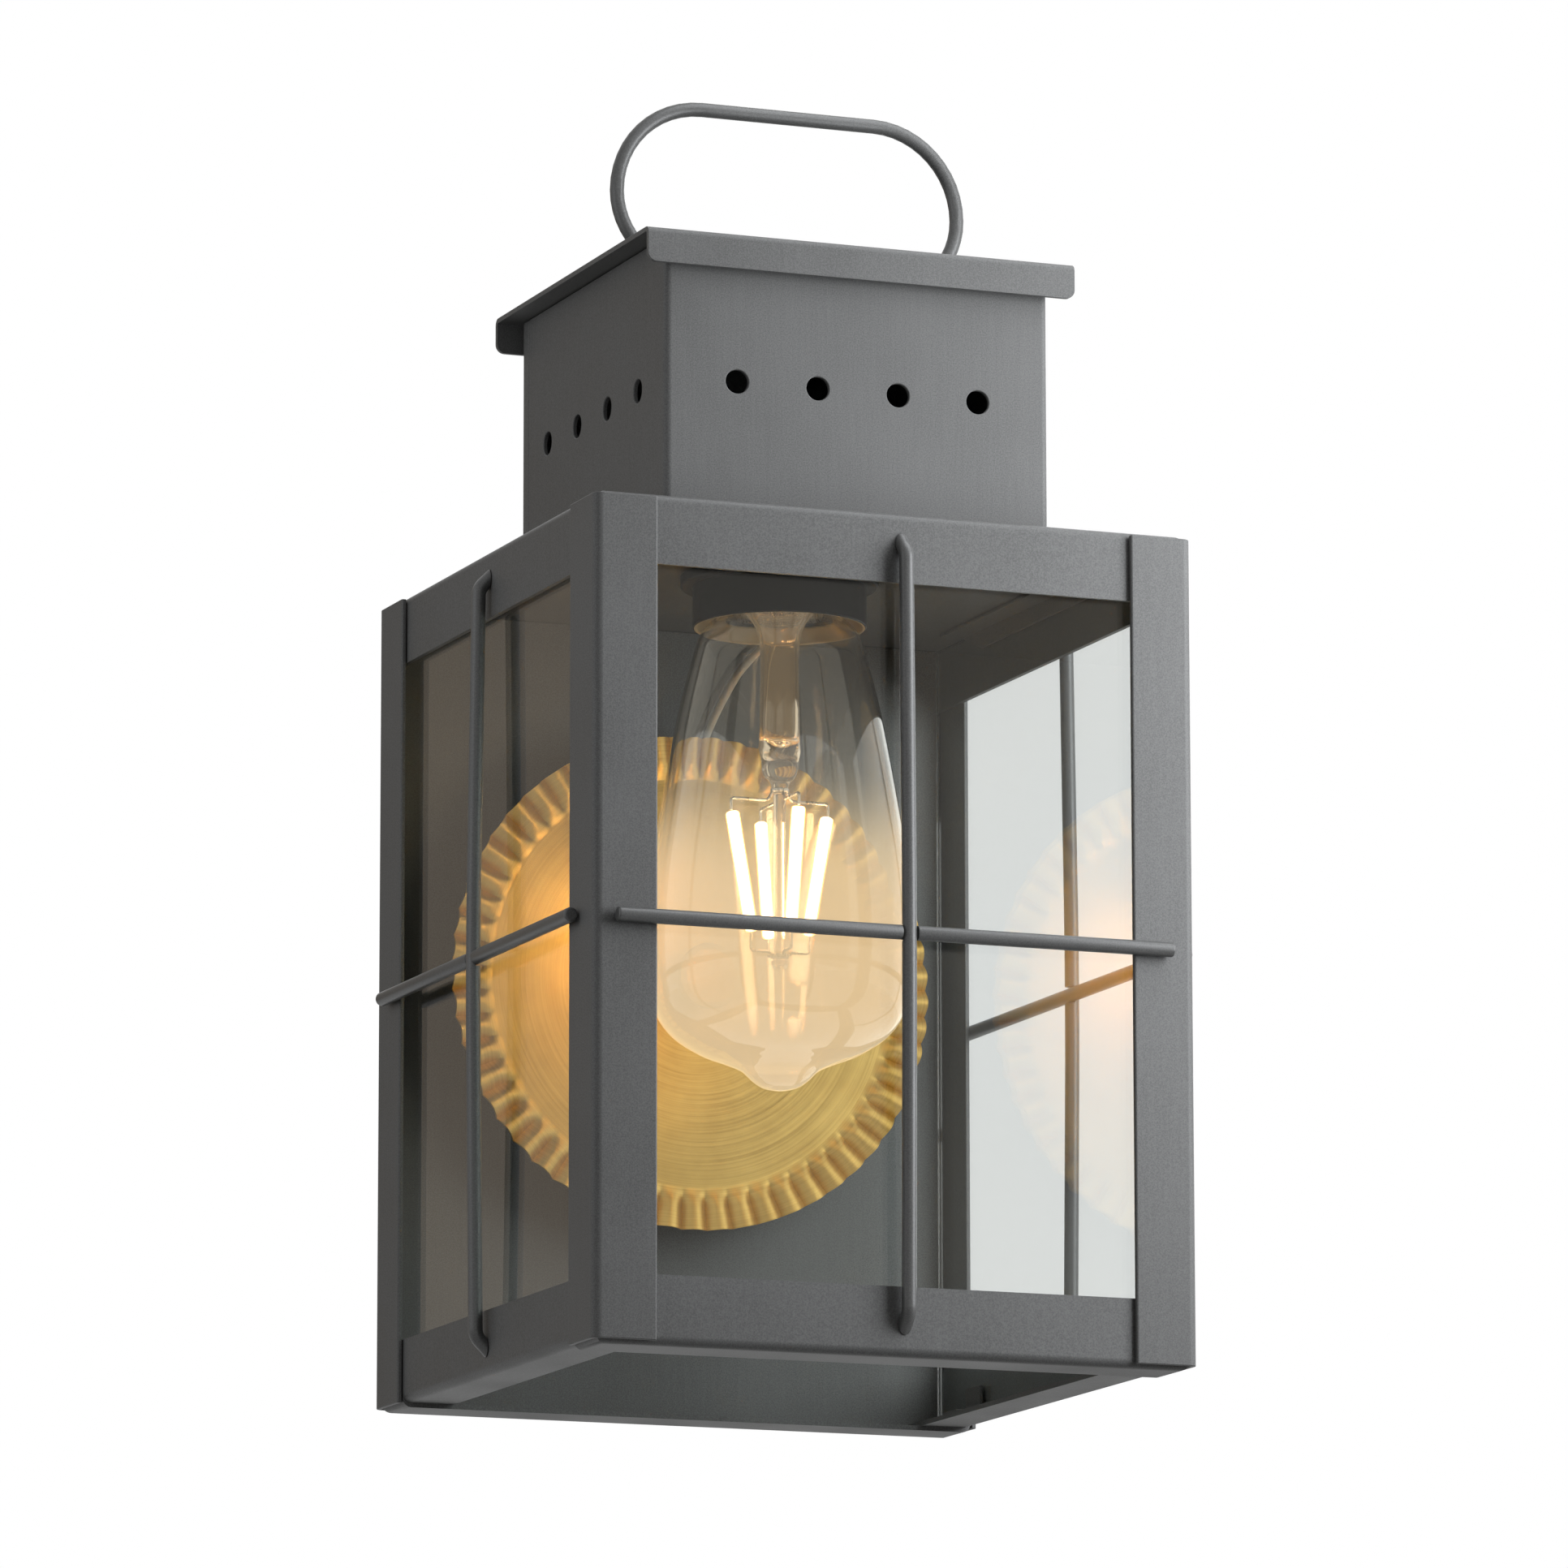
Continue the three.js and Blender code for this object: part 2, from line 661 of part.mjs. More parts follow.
const sideHalf = bodyDepth / 2;
const guardFaces = [
  { face: 'front', turn: 0, x: 0, y: -bodyDepth, half: halfWidth - frontCrossBarInset, cross: frontCrossBarShift, upright: frontUprightShift, rise: 0 },
  { face: 'left', turn: -Math.PI / 2, x: -halfWidth, y: bodyCentreY, half: sideHalf - sideCrossBarInset, cross: 0, upright: 0, rise: sideCrossBarRise },
  { face: 'right', turn: Math.PI / 2, x: halfWidth, y: bodyCentreY, half: sideHalf - sideCrossBarInset, cross: 0, upright: 0, rise: sideCrossBarRise },
];
for (const { face, turn, x, y, half, cross, upright, rise } of guardFaces) {
  const height = crossBarHeight + rise;
  const span = rodRadius + fitGap;
  const lap = block(upright - span, upright + span, -2 * rodDiameter, -lapLevel + fitGap / 2, height - rodDiameter, height + rodDiameter);
  const bar = cut(crossBar(half).translate(cross, -crossStandOff, height), lap);
  piece(bodyGroup, `${face}_cross_bar`, bar.rotateZ(turn).translate(x, y, 0), finishes.graphite);
  const upper = uprightBar(height).translate(upright, 0, 0);
  piece(bodyGroup, `${face}_upright_bar`, upper.rotateZ(turn).translate(x, y, 0), finishes.graphite);
}

// Lampholder

const holderGroup = new THREE.Group();
holderGroup.position.set(0, lampY, 0);
lantern.add(holderGroup);
const cupRadius = cupDiameter / 2;
const cupInner = cupRadius - cupWall;
const porcelainRadius = porcelainDiameter / 2;
const shoulderRadius = porcelainRadius + fitGap;
const cupBottom = ceiling - cupHeight;
const cup = [
  [cupInner, cupBottom],
  [cupRadius, cupBottom],
  [cupRadius, ceiling - cupFlangeThickness],
  [cupFlangeDiameter / 2, ceiling - cupFlangeThickness],
  [cupFlangeDiameter / 2, ceiling],
  [shoulderRadius, ceiling],
  [shoulderRadius, ceiling - cupShoulder],
  [cupInner, ceiling - cupShoulder],
];
piece(holderGroup, 'lampholder_cup', turnedAboutZ(cup), finishes.blackMetal);

const shellRadius = shellBore / 2 + shellWall;
const porcelainBore = shellRadius + fitGap;
const porcelainRimTop = ceiling - cupShoulder - fitGap;
const porcelainBottom = porcelainRimTop - porcelainRim;
const porcelainUpper = porcelainBottom + porcelainHeight;
const nippleRadius = nippleDiameter / 2;
const porcelain = [
  [porcelainBore, porcelainBottom],
  [cupInner - fitGap, porcelainBottom],
  [cupInner - fitGap, porcelainRimTop],
  [porcelainRadius, porcelainRimTop],
  [porcelainRadius, porcelainUpper],
  [nippleRadius + fitGap, porcelainUpper],
  [nippleRadius + fitGap, porcelainUpper - porcelainTop],
  [porcelainBore, porcelainUpper - porcelainTop],
];
piece(holderGroup, 'lampholder_porcelain', turnedAboutZ(porcelain), finishes.porcelain);

const boreTop = porcelainUpper - porcelainTop - fitGap;
const shell = ring(shellRadius, shellBore / 2, boreTop - shellLength, boreTop);
piece(holderGroup, 'lampholder_screw_shell', turnedAboutZ(shell), finishes.brass);

// Lamp heights follow the lampholder: the lamp's tip contact meets the centre contact
const lampContactTop = boreTop - 3;
const centreContact = ring(contactDiameter / 2, 1.5, lampContactTop + fitGap, boreTop);
piece(holderGroup, 'lampholder_centre_contact', turnedAboutZ(centreContact, 16), finishes.brass);

function bracketShape() {
  const low = bodyHeight + fitGap;
  const high = porcelainUpper + fitGap + bracketSheet;
  const inner = porcelainRadius + bracketClearance;
  const outer = inner + bracketSheet;
  const right = [
    [outer + bracketFoot, low],
    [outer + bracketFoot, low + bracketSheet],
    [outer, low + bracketSheet],
    [outer, high],
  ];
  const under = [
    [inner, high - bracketSheet],
    [inner, low],
  ];
  const outline = [
    ...right,
    ...right.map(([x, z]) => [-x, z]).reverse(),
    ...under.map(([x, z]) => [-x, z]).reverse(),
    ...under,
  ].map(([x, z]) => new THREE.Vector2(x, z));
  const strap = alongY(outline, -bracketWidth / 2, bracketWidth / 2);
  return cut(strap, turnedAboutZ(disc(nippleRadius + fitGap, low, high + bracketSheet), 20));
}

piece(holderGroup, 'lampholder_bracket', bracketShape(), finishes.zinc);

const nippleLow = porcelainUpper - porcelainTop;
const nipple = ring(nippleRadius, nippleBore / 2, nippleLow, nippleLow + nippleLength);
piece(holderGroup, 'lampholder_nipple', turnedAboutZ(nipple, 20), finishes.brass);

function lockNut(low) {
  const hex = raised(hexagon(nutAcrossFlats), low, low + nutThickness);
  return cut(hex, turnedAboutZ(disc(nippleRadius + fitGap, low - nutThickness, low + 2 * nutThickness), 20));
}

const nutLow = porcelainUpper + 2 * fitGap + bracketSheet;
piece(holderGroup, 'lampholder_nut', lockNut(nutLow), finishes.brass);

// Two terminal screws on the back of the porcelain, one for each lead
const terminalZ = porcelainUpper - terminalDrop;
for (const [name, sign] of [['live_terminal_screw', -1], ['neutral_terminal_screw', 1]]) {
  const start = porcelainRadius + fitGap;
  const screw = turnedAboutY(disc(terminalHead / 2, start, start + terminalLength), 16);
  const turn = -sign * THREE.MathUtils.degToRad(terminalAngle);
  piece(holderGroup, name, screw.rotateZ(turn).translate(0, 0, terminalZ), finishes.brass);
}

// Lamp, in one group so that it comes out as a whole

const lampGroup = new THREE.Group();
lampGroup.position.set(0, lampY, 0);
lantern.add(lampGroup);
const lampTip = lampContactTop - lampLength;
const capTop = lampContactTop - capContactHeight - capInsulator - fitGap;
const capBottom = capTop - capLength;
const capRadius = capDiameter / 2;
const lampRadius = lampDiameter / 2;

// Outer half-profile of the glass, from its tip to its neck, as shares of its widest radius and of its length
const glassProfile = [
  [0, 0],
  [0.14, 0.012],
  [0.26, 0.034],
  [0.4, 0.058],
  [0.63, 0.082],
  [0.83, 0.12],
  [0.95, 0.177],
  [1, 0.29],
  [0.975, 0.44],
  [0.89, 0.6],
  [0.77, 0.78],
  [0.66, 0.9],
  [0.59, 0.955],
  [0.45, 0.99],
];
const glassTipShares = 3;
const neckRadius = capRadius - capWall - fitGap;

function glassEnvelope() {
  const neckTop = capBottom + neckHeight;
  const length = capBottom - lampTip;
  const corners = glassProfile.map(([r, h]) => new THREE.Vector2(r * lampRadius, lampTip + h * length));
  const curve = new THREE.CatmullRomCurve3(corners.map((p) => new THREE.Vector3(p.x, p.y, 0)), false, 'centripetal');
  const outer = [];
  for (let i = 0; i <= glassSteps; i += 1) {
    const p = curve.getPoint(i / glassSteps);
    outer.push([i === 0 ? 0 : p.x, p.y]);
  }
  outer.push([neckRadius, capBottom - fitGap], [neckRadius, neckTop]);
  const inner = [[neckRadius - lampWall, neckTop], [neckRadius - lampWall, capBottom - fitGap]];
  for (const p of corners.slice(glassTipShares).reverse()) inner.push([p.x - lampWall, p.y + lampWall / 2]);
  inner.push([0, corners[glassTipShares].y + lampWall / 2]);
  return turnedAboutZ([...outer, ...inner], 36);
}

piece(lampGroup, 'lamp_glass', glassEnvelope(), finishes.glass);

const cap = [
  [capRadius - capWall, capBottom],
  [capRadius, capBottom],
  [capRadius, capTop - capShoulder],
  [capRadius - capShoulderInset, capTop],
  [capRadius - capShoulderInset - capWall, capTop],
  [capRadius - capWall, capTop - capShoulder],
];
piece(lampGroup, 'lamp_cap', turnedAboutZ(cap), finishes.nickel);
const insulatorLow = capTop + fitGap;
const insulatorHigh = insulatorLow + capInsulator;
const insulator = [
  [0, insulatorLow],
  [capRadius - capShoulderInset, insulatorLow],
  [contactDiameter / 2 + 1, insulatorHigh - fitGap],
  [0, insulatorHigh - fitGap],
];
piece(lampGroup, 'lamp_cap_insulator', turnedAboutZ(insulator, 24), finishes.blackRubber);
piece(lampGroup, 'lamp_cap_contact', turnedAboutZ(disc(contactDiameter / 2, insulatorHigh, lampContactTop), 16), finishes.nickel);

// Glass stem: a tube from the cap that is pinched, then a thin rod down to a bead
const stemRadius = stemDiameter / 2;
const thinRadius = rodGlassDiameter / 2;
const supportHeight = stemPinchHeight - supportDrop;
const filamentTop = supportHeight - filamentDrop;
const filamentBottom = filamentTop - filamentLength;
const hookHeight = filamentBottom - hookDrop;
const stemTop = capBottom + stemSeat;
const stem = [
  [0, hookHeight - beadLength / 2],
  [beadRadius, hookHeight - beadLength / 5],
  [beadRadius, hookHeight + beadLength / 5],
  [thinRadius, hookHeight + beadLength / 2],
  [thinRadius, supportHeight + wireDiameter],
  [thinRadius * 1.5, stemPinchHeight - pinchDrop],
  [stemRadius * 0.62, stemPinchHeight],
  [stemRadius, stemPinchHeight + pinchRise],
  [stemRadius, stemTop - stemSeat / 3 - stemFlare],
  [neckRadius - lampWall - fitGap, stemTop - stemSeat / 3],
  [neckRadius - lampWall - fitGap, stemTop],
  [0, stemTop],
];
piece(lampGroup, 'lamp_stem', turnedAboutZ(stem, 16), finishes.glass);

// A ring of wire round the stem with four arms, one to each filament
const upwards = new THREE.Vector3(0, 0, 1);

function spider(height, reach, tipHeight) {
  const hubBore = thinRadius + fitGap;
  const halfWire = wireDiameter / 2;
  const hub = turnedAboutZ(ring(hubBore + wireDiameter, hubBore, height - halfWire, height + halfWire), 12);
  const arms = [0, 90, 180, 270].map((angle) => {
    const direction = new THREE.Vector3(1, 0, 0).applyAxisAngle(upwards, THREE.MathUtils.degToRad(angle));
    const start = direction.clone().multiplyScalar(hubBore + halfWire).setZ(height);
    const bend = direction.clone().multiplyScalar(reach).setZ(height);
    const tip = direction.clone().multiplyScalar(reach).setZ(tipHeight);
    return rod([start, bend, tip], wireDiameter, 6);
  });
  return joined(hub, ...arms);
}

piece(lampGroup, 'lamp_upper_support', spider(supportHeight, supportRadius, filamentTop + fitGap), finishes.nickel);
piece(lampGroup, 'lamp_lower_support', spider(hookHeight + hookRise, hookRadius, filamentBottom - fitGap), finishes.nickel);

['right', 'rear', 'left', 'front'].forEach((side, index) => {
  const turn = THREE.MathUtils.degToRad(90 * index);
  const top = new THREE.Vector3(supportRadius, 0, filamentTop).applyAxisAngle(upwards, turn);
  const bottom = new THREE.Vector3(hookRadius, 0, filamentBottom).applyAxisAngle(upwards, turn);
  piece(lampGroup, `lamp_filament_${side}`, rod([bottom, top], filamentDiameter, 8), finishes.filament);
});

// Wall fixing, wiring pan, reflector and knob, all turned about one axis

const fixingGroup = new THREE.Group();
fixingGroup.position.set(0, 0, reflectorHeight);
lantern.add(fixingGroup);
const panRadius = panDiameter / 2;
const panSeat = panelFront - fitGap;
const reflectorBack = -reflectorStand;
const panFront = reflectorBack + fitGap;
const pan = [
  [panRadius - panSheet, panSeat],
  [panRadius - panSheet, panFront + panFillet + panSheet],
  [panRadius - panSheet - panFillet, panFront + panSheet],
  [nippleRadius + fitGap, panFront + panSheet],
  [nippleRadius + fitGap, panFront],
  [panRadius - panFillet, panFront],
  [panRadius, panFront + panFillet],
  [panRadius, panSeat - panSheet],
  [panRadius + panFlange, panSeat - panSheet],
  [panRadius + panFlange, panSeat],
];
const panMidY = (panSeat - panSheet + panFront) / 2;
const wireHole = turnedAboutZ(disc(panWireHole / 2, panRadius - 3 * panSheet, panRadius + panSheet), 16);
piece(fixingGroup, 'wiring_pan', cut(turnedAboutY(pan, 40), wireHole.translate(0, panMidY, 0)), finishes.graphite);

// The reflector's rim is pressed into pleats that deepen outwards
function reflectorShape() {
  const flatRadius = reflectorFlatDiameter / 2;
  const outerRadius = reflectorDiameter / 2;
  const hole = nippleRadius + fitGap;
  const front = reflectorBack - reflectorSheet;
  const profile = [
    [hole, front],
    [flatRadius, front],
    [flatRadius + crimpRunIn, front],
    [outerRadius, front],
    [outerRadius, reflectorBack],
    [flatRadius + crimpRunIn, reflectorBack],
    [flatRadius, reflectorBack],
    [hole, reflectorBack],
  ];
  const geometry = turnedAboutY(profile, 2 * crimpCount);
  const places = geometry.attributes.position;
  for (let i = 0; i < places.count; i += 1) {
    const radius = Math.hypot(places.getX(i), places.getZ(i));
    const outwards = THREE.MathUtils.clamp((radius - flatRadius) / (outerRadius - flatRadius), 0, 1);
    const depth = THREE.MathUtils.clamp((radius - flatRadius) / crimpRunIn, 0, 1);
    const turn = Math.atan2(places.getX(i), places.getZ(i));
    const wave = crimpDepth * depth * Math.cos(crimpCount * turn);
    places.setY(i, places.getY(i) - wave - reflectorDish * outwards);
  }
  return geometry;
}

piece(fixingGroup, 'reflector', reflectorShape(), finishes.brass);

const knobSeat = reflectorBack - reflectorSheet - fitGap;
const knobFace = knobSeat - knobHeight;
const knobNeck = knobNeckDiameter / 2;
const knobBoreEnd = knobFace + knobWall;
const knob = [
  [0, knobFace],
  [knobDiameter / 2 - 0.5, knobFace],
  [knobDiameter / 2, knobFace + 0.5],
  [knobDiameter / 2, knobFace + knobHead],
  [knobNeck, knobFace + knobHead],
  [knobNeck, knobSeat],
  [nippleRadius + fitGap, knobSeat],
  [nippleRadius + fitGap, knobBoreEnd],
  [0, knobBoreEnd],
];
piece(fixingGroup, 'reflector_knob', turnedAboutY(knob, 24), finishes.brass);

const strapFront = -strapSheet;
const stud = disc(nippleRadius, knobBoreEnd + fitGap, strapFront - fitGap);
piece(fixingGroup, 'mounting_stud', turnedAboutY(stud, 20), finishes.zinc);

// The middle of the strap is whole, so that it bears on the wall there, and the stud stands on its front
function mountingStrap() {
  const halfLength = strapLength / 2;
  const endRadius = strapWidth / 2;
  const outline = [
    ...arc(0, halfLength - endRadius, endRadius, 0, 180, 8),
    ...arc(0, -halfLength + endRadius, endRadius, 180, 360, 8),
  ];
  const slotHalf = strapSlotLength / 2 - strapSlotWidth / 2;
  const slots = [-1, 1].map((sign) => {
    const middle = sign * strapSlotSpacing / 2;
    const slot = [
      ...arc(0, middle + slotHalf, strapSlotWidth / 2, 0, 180, 6),
      ...arc(0, middle - slotHalf, strapSlotWidth / 2, 180, 360, 6),
    ];
    return alongY(slot, 2 * strapFront, strapSheet);
  });
  return cut(alongY(outline, strapFront, 0), ...slots);
}

piece(fixingGroup, 'mounting_strap', mountingStrap(), finishes.zinc);

const groundFace = strapFront - fitGap;
const groundScrew = turnedAboutY(disc(groundScrewHead / 2, groundFace - groundScrewHeight, groundFace), 16);
piece(fixingGroup, 'ground_screw', groundScrew.translate(0, 0, -groundScrewOffset), finishes.green);

// Leads: from the terminals over the roof, down through the grommet, behind the reflector and into the pan

const wiringGroup = new THREE.Group();
lantern.add(wiringGroup);
const grommetProfile = [
  [grommetBore / 2, -traySheet - grommetLip - fitGap],
  [grommetDiameter / 2 + 1.5, -traySheet - grommetLip - fitGap],
  [grommetDiameter / 2 + 1.5, -traySheet - fitGap],
  [grommetDiameter / 2, -traySheet - fitGap],
  [grommetDiameter / 2, fitGap],
  [grommetDiameter / 2 + 1.5, fitGap],
  [grommetDiameter / 2 + 1.5, fitGap + grommetLip],
  [grommetBore / 2, fitGap + grommetLip],
];
const grommet = turnedAboutZ(grommetProfile, 20).translate(leadHoleOffset, leadHoleY, bodyHeight);
piece(wiringGroup, 'lead_grommet', grommet, finishes.blackRubber);

const panHoleZ = reflectorHeight + panRadius;
const connectorTop = reflectorHeight + 6;
for (const [name, sign, finish] of [['live_lead', -1, finishes.blackLead], ['neutral_lead', 1, finishes.whiteLead]]) {
  const side = sign * leadSpacing / 2;
  const angle = THREE.MathUtils.degToRad(terminalAngle);
  const clear = porcelainRadius + fitGap + terminalLength + 2 * fitGap + leadDiameter / 2;
  const terminalX = sign * clear * Math.sin(angle);
  const terminalY = lampY + clear * Math.cos(angle);
  const points = [
    [terminalX, terminalY, terminalZ + terminalHead / 2],
    [terminalX, terminalY, terminalZ - terminalHead / 2],
    [terminalX, terminalY + leadDiameter, terminalZ - 1.5 * terminalHead],
    [leadHoleOffset + side, (terminalY + leadHoleY) / 2, bodyHeight + leadRoofRise],
    [leadHoleOffset + side, leadHoleY, bodyHeight + leadHoleRise],
    [leadHoleOffset + side, leadHoleY, bodyHeight - leadHoleDrop],
    [leadHoleOffset / 2 + side, (leadHoleY + panMidY) / 2, bodyHeight - leadElbowDrop],
    [side, panMidY, panHoleZ + leadPanRise],
    [side, panMidY, panHoleZ],
    [side + sign * leadSpread, panMidY, panHoleZ - leadPanDrop],
    [sign * connectorSpacing / 2, panMidY, connectorTop + leadConnectorRise],
    [sign * connectorSpacing / 2, panMidY, connectorTop + fitGap],
  ].map(([x, y, z]) => new THREE.Vector3(x, y, z));
  piece(wiringGroup, name, lead(points, leadDiameter, 44, 8), finish);
}

for (const [name, sign] of [['live_connector', -1], ['neutral_connector', 1]]) {
  const radius = connectorDiameter / 2;
  const cone = [
    [0, -connectorLength],
    [radius * 0.55, -connectorLength],
    [radius, -4],
    [radius, 0],
    [0, 0],
  ];
  const shape = turnedAboutZ(cone, 16).translate(sign * connectorSpacing / 2, panMidY, connectorTop);
  piece(wiringGroup, name, shape, finishes.connector);
}

export default sconce;
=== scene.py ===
"""Dresses a square lantern wall light: coated steel, glass, a filament lamp and a pleated brass reflector.

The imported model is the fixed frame. Every piece takes its place and its main sizes from that frame, in
metres, with +X to the viewer's right, +Y into the wall and +Z up.
"""

from __future__ import annotations

import logging
import math
from collections.abc import Callable, Iterable, Iterator, Sequence
from contextlib import contextmanager
from dataclasses import dataclass
from enum import Enum

import bmesh
import bpy
from bmesh.types import BMesh
from bpy.types import ID, Material, Node, NodeSocket, NodeTree, Object
from mathutils import Matrix, Vector

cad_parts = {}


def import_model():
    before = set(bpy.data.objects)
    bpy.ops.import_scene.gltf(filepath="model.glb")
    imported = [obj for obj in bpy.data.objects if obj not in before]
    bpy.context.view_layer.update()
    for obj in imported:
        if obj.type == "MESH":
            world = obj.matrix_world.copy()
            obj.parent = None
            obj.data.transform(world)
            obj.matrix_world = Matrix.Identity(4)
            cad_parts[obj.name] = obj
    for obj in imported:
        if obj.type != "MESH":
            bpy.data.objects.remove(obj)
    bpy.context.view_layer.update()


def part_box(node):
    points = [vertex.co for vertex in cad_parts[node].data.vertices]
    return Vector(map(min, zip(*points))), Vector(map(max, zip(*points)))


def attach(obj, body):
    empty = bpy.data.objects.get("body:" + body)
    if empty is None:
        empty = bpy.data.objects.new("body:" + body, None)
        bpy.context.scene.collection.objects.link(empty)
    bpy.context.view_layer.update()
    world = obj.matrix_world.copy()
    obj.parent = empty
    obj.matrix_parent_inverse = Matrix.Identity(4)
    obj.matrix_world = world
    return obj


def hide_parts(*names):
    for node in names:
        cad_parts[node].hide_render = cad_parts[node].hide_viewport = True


log = logging.getLogger("lantern")

MM = 0.001
LANTERN, LAMP, KNOB = "lantern", "lamp", "knob"
WHITE = (1.0, 1.0, 1.0, 1.0)
# The least turn in degrees that counts as an edge, on plain pieces and on ones with modelled bends
EDGE_ANGLE, BEND_ANGLE = 32, 50
# The turns in degrees above which shading breaks and below which faces count as one plane
SHARP_ANGLE, FLAT_ANGLE = 55, 0.5
# How strongly large faces keep their shading flat, in percent
FACE_WEIGHT = 60
# The gap between touching pieces, and the distances at which points of a seam or a shape are one
GAP, SEAM, SAME = 0.3 * MM, 1e-6, 1e-7
Point2 = tuple[float, float]


class Axis(Enum):
    """An axis, with the places of its two outline coordinates and of its own direction."""

    X = (1, 2, 0)
    Y = (0, 2, 1)
    Z = (0, 1, 2)

    def place(self, u: float, v: float, w: float) -> Vector:
        """Returns the point with outline coordinates u and v at w along the axis."""
        values = dict(zip(self.value, (u, v, w)))
        return Vector((values[0], values[1], values[2]))


class Cut(Enum):
    """How two solids are put together."""

    AWAY = "DIFFERENCE"
    SHARED = "INTERSECT"
    JOINED = "UNION"


@dataclass(frozen=True)
class Box:
    """The box of a frame node, in metres."""

    low: Vector
    high: Vector

    @classmethod
    def of(cls, node: str) -> Box:
        """Reads a node's box from the frame."""
        return cls(*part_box(node))

    @property
    def radius(self) -> float:
        """Returns half the width, which is the radius of a round piece."""
        return (self.high.x - self.low.x) / 2

    def axis(self, z: float = 0.0) -> Vector:
        """Returns the place of the upright middle line at a height."""
        return Vector(((self.low.x + self.high.x) / 2, (self.low.y + self.high.y) / 2, z))


def mm(*values: float) -> list[float]:
    """Turns millimetres into metres."""
    return [value * MM for value in values]


def linear(code: int) -> tuple[float, float, float, float]:
    """Turns an sRGB hex colour into Blender's linear values.

    Args:
        code: The colour as 0xRRGGBB.

    Returns:
        Linear red, green and blue, and full alpha.
    """
    shares = [((code >> shift) & 255) / 255 for shift in (16, 8, 0)]
    return (*(s / 12.92 if s <= 0.04045 else ((s + 0.055) / 1.055) ** 2.4 for s in shares), 1.0)


class Nodes:
    """Adds nodes to one tree, with short forms for those that come back often."""

    def __init__(self, tree: NodeTree) -> None:
        """Takes the tree."""
        self.tree = tree

    def feed(self, node: Node, inputs: dict) -> None:
        """Sets or links a node's inputs.

        Args:
            node: A node of the tree.
            inputs: Values or output sockets by input name or index.
        """
        for key, value in inputs.items():
            if isinstance(value, NodeSocket):
                self.tree.links.new(value, node.inputs[key])
            else:
                node.inputs[key].default_value = value

    def add(self, kind: str, inputs: dict | None = None, **settings) -> Node:
        """Adds a node.

        Args:
            kind: The node's type name.
            inputs: Values or output sockets by input name or index.
            **settings: The node's own properties.

        Returns:
            The new node.
        """
        node = self.tree.nodes.new(kind)
        for key, value in settings.items():
            setattr(node, key, value)
        self.feed(node, inputs or {})
        return node

    def out(self, kind: str, inputs: dict | None = None, **settings) -> NodeSocket:
        """Adds a node and returns its first output."""
        return self.add(kind, inputs, **settings).outputs[0]

    def math(self, operation: str, first: float | NodeSocket, *others: float | NodeSocket) -> NodeSocket:
        """Adds an operation, once again for each further value.

        Args:
            operation: The operation's name.
            first: The first value.
            *others: The other values, or none for a function of one value.

        Returns:
            The result.
        """
        if not others:
            return self.out("ShaderNodeMath", {0: first}, operation=operation)
        for other in others:
            first = self.out("ShaderNodeMath", {0: first, 1: other}, operation=operation)
        return first

    def plus(self, *values: float | NodeSocket) -> NodeSocket:
        """Returns the sum of the values."""
        return self.math("ADD", *values)

    def times(self, *values: float | NodeSocket) -> NodeSocket:
        """Returns the product of the values."""
        return self.math("MULTIPLY", *values)

    def minus(self, first: float | NodeSocket, second: float | NodeSocket) -> NodeSocket:
        """Returns the first value less the second."""
        return self.math("SUBTRACT", first, second)

    def xyz(self, *values: float | NodeSocket) -> NodeSocket:
        """Returns the vector of up to three values."""
        return self.out("ShaderNodeCombineXYZ", dict(enumerate(values)))

    def ramp(
        self,
        value: NodeSocket,
        low: float = 0.0,
        high: float | NodeSocket = 1.0,
        start: float = 0.0,
        end: float | NodeSocket = 1.0,
        curve: str = "LINEAR",
    ) -> NodeSocket:
        """Maps a value from one span to another and holds it there.

        Args:
            value: What is mapped.
            low: The result at the start.
            high: The result at the end.
            start: Where the span of the value starts.
            end: Where it ends.
            curve: The name of the way between.

        Returns:
            The result.
        """
        spans = {"Value": value, "From Min": start, "From Max": end, "To Min": low, "To Max": high}
        return self.out("ShaderNodeMapRange", spans, interpolation_type=curve)

    def shown_rays(self) -> NodeSocket:
        """Returns 1 on rays from the camera, off a gloss or through glass, and 0 on all others."""
        path = self.add("ShaderNodeLightPath").outputs
        kinds = ("Camera", "Glossy", "Transmission")
        return self.math("MAXIMUM", *(path[f"Is {kind} Ray"] for kind in kinds))


# Outlines and meshes


def moved(point: Vector, places: dict[int, float]) -> Vector:
    """Returns a copy of a point with new coordinates, given by their index."""
    return Vector([places.get(i, point[i]) for i in range(3)])


def rectangle(u0: float, v0: float, u1: float, v1: float) -> list[Point2]:
    """Returns the four corners of a rectangle."""
    return [(u0, v0), (u1, v0), (u1, v1), (u0, v1)]


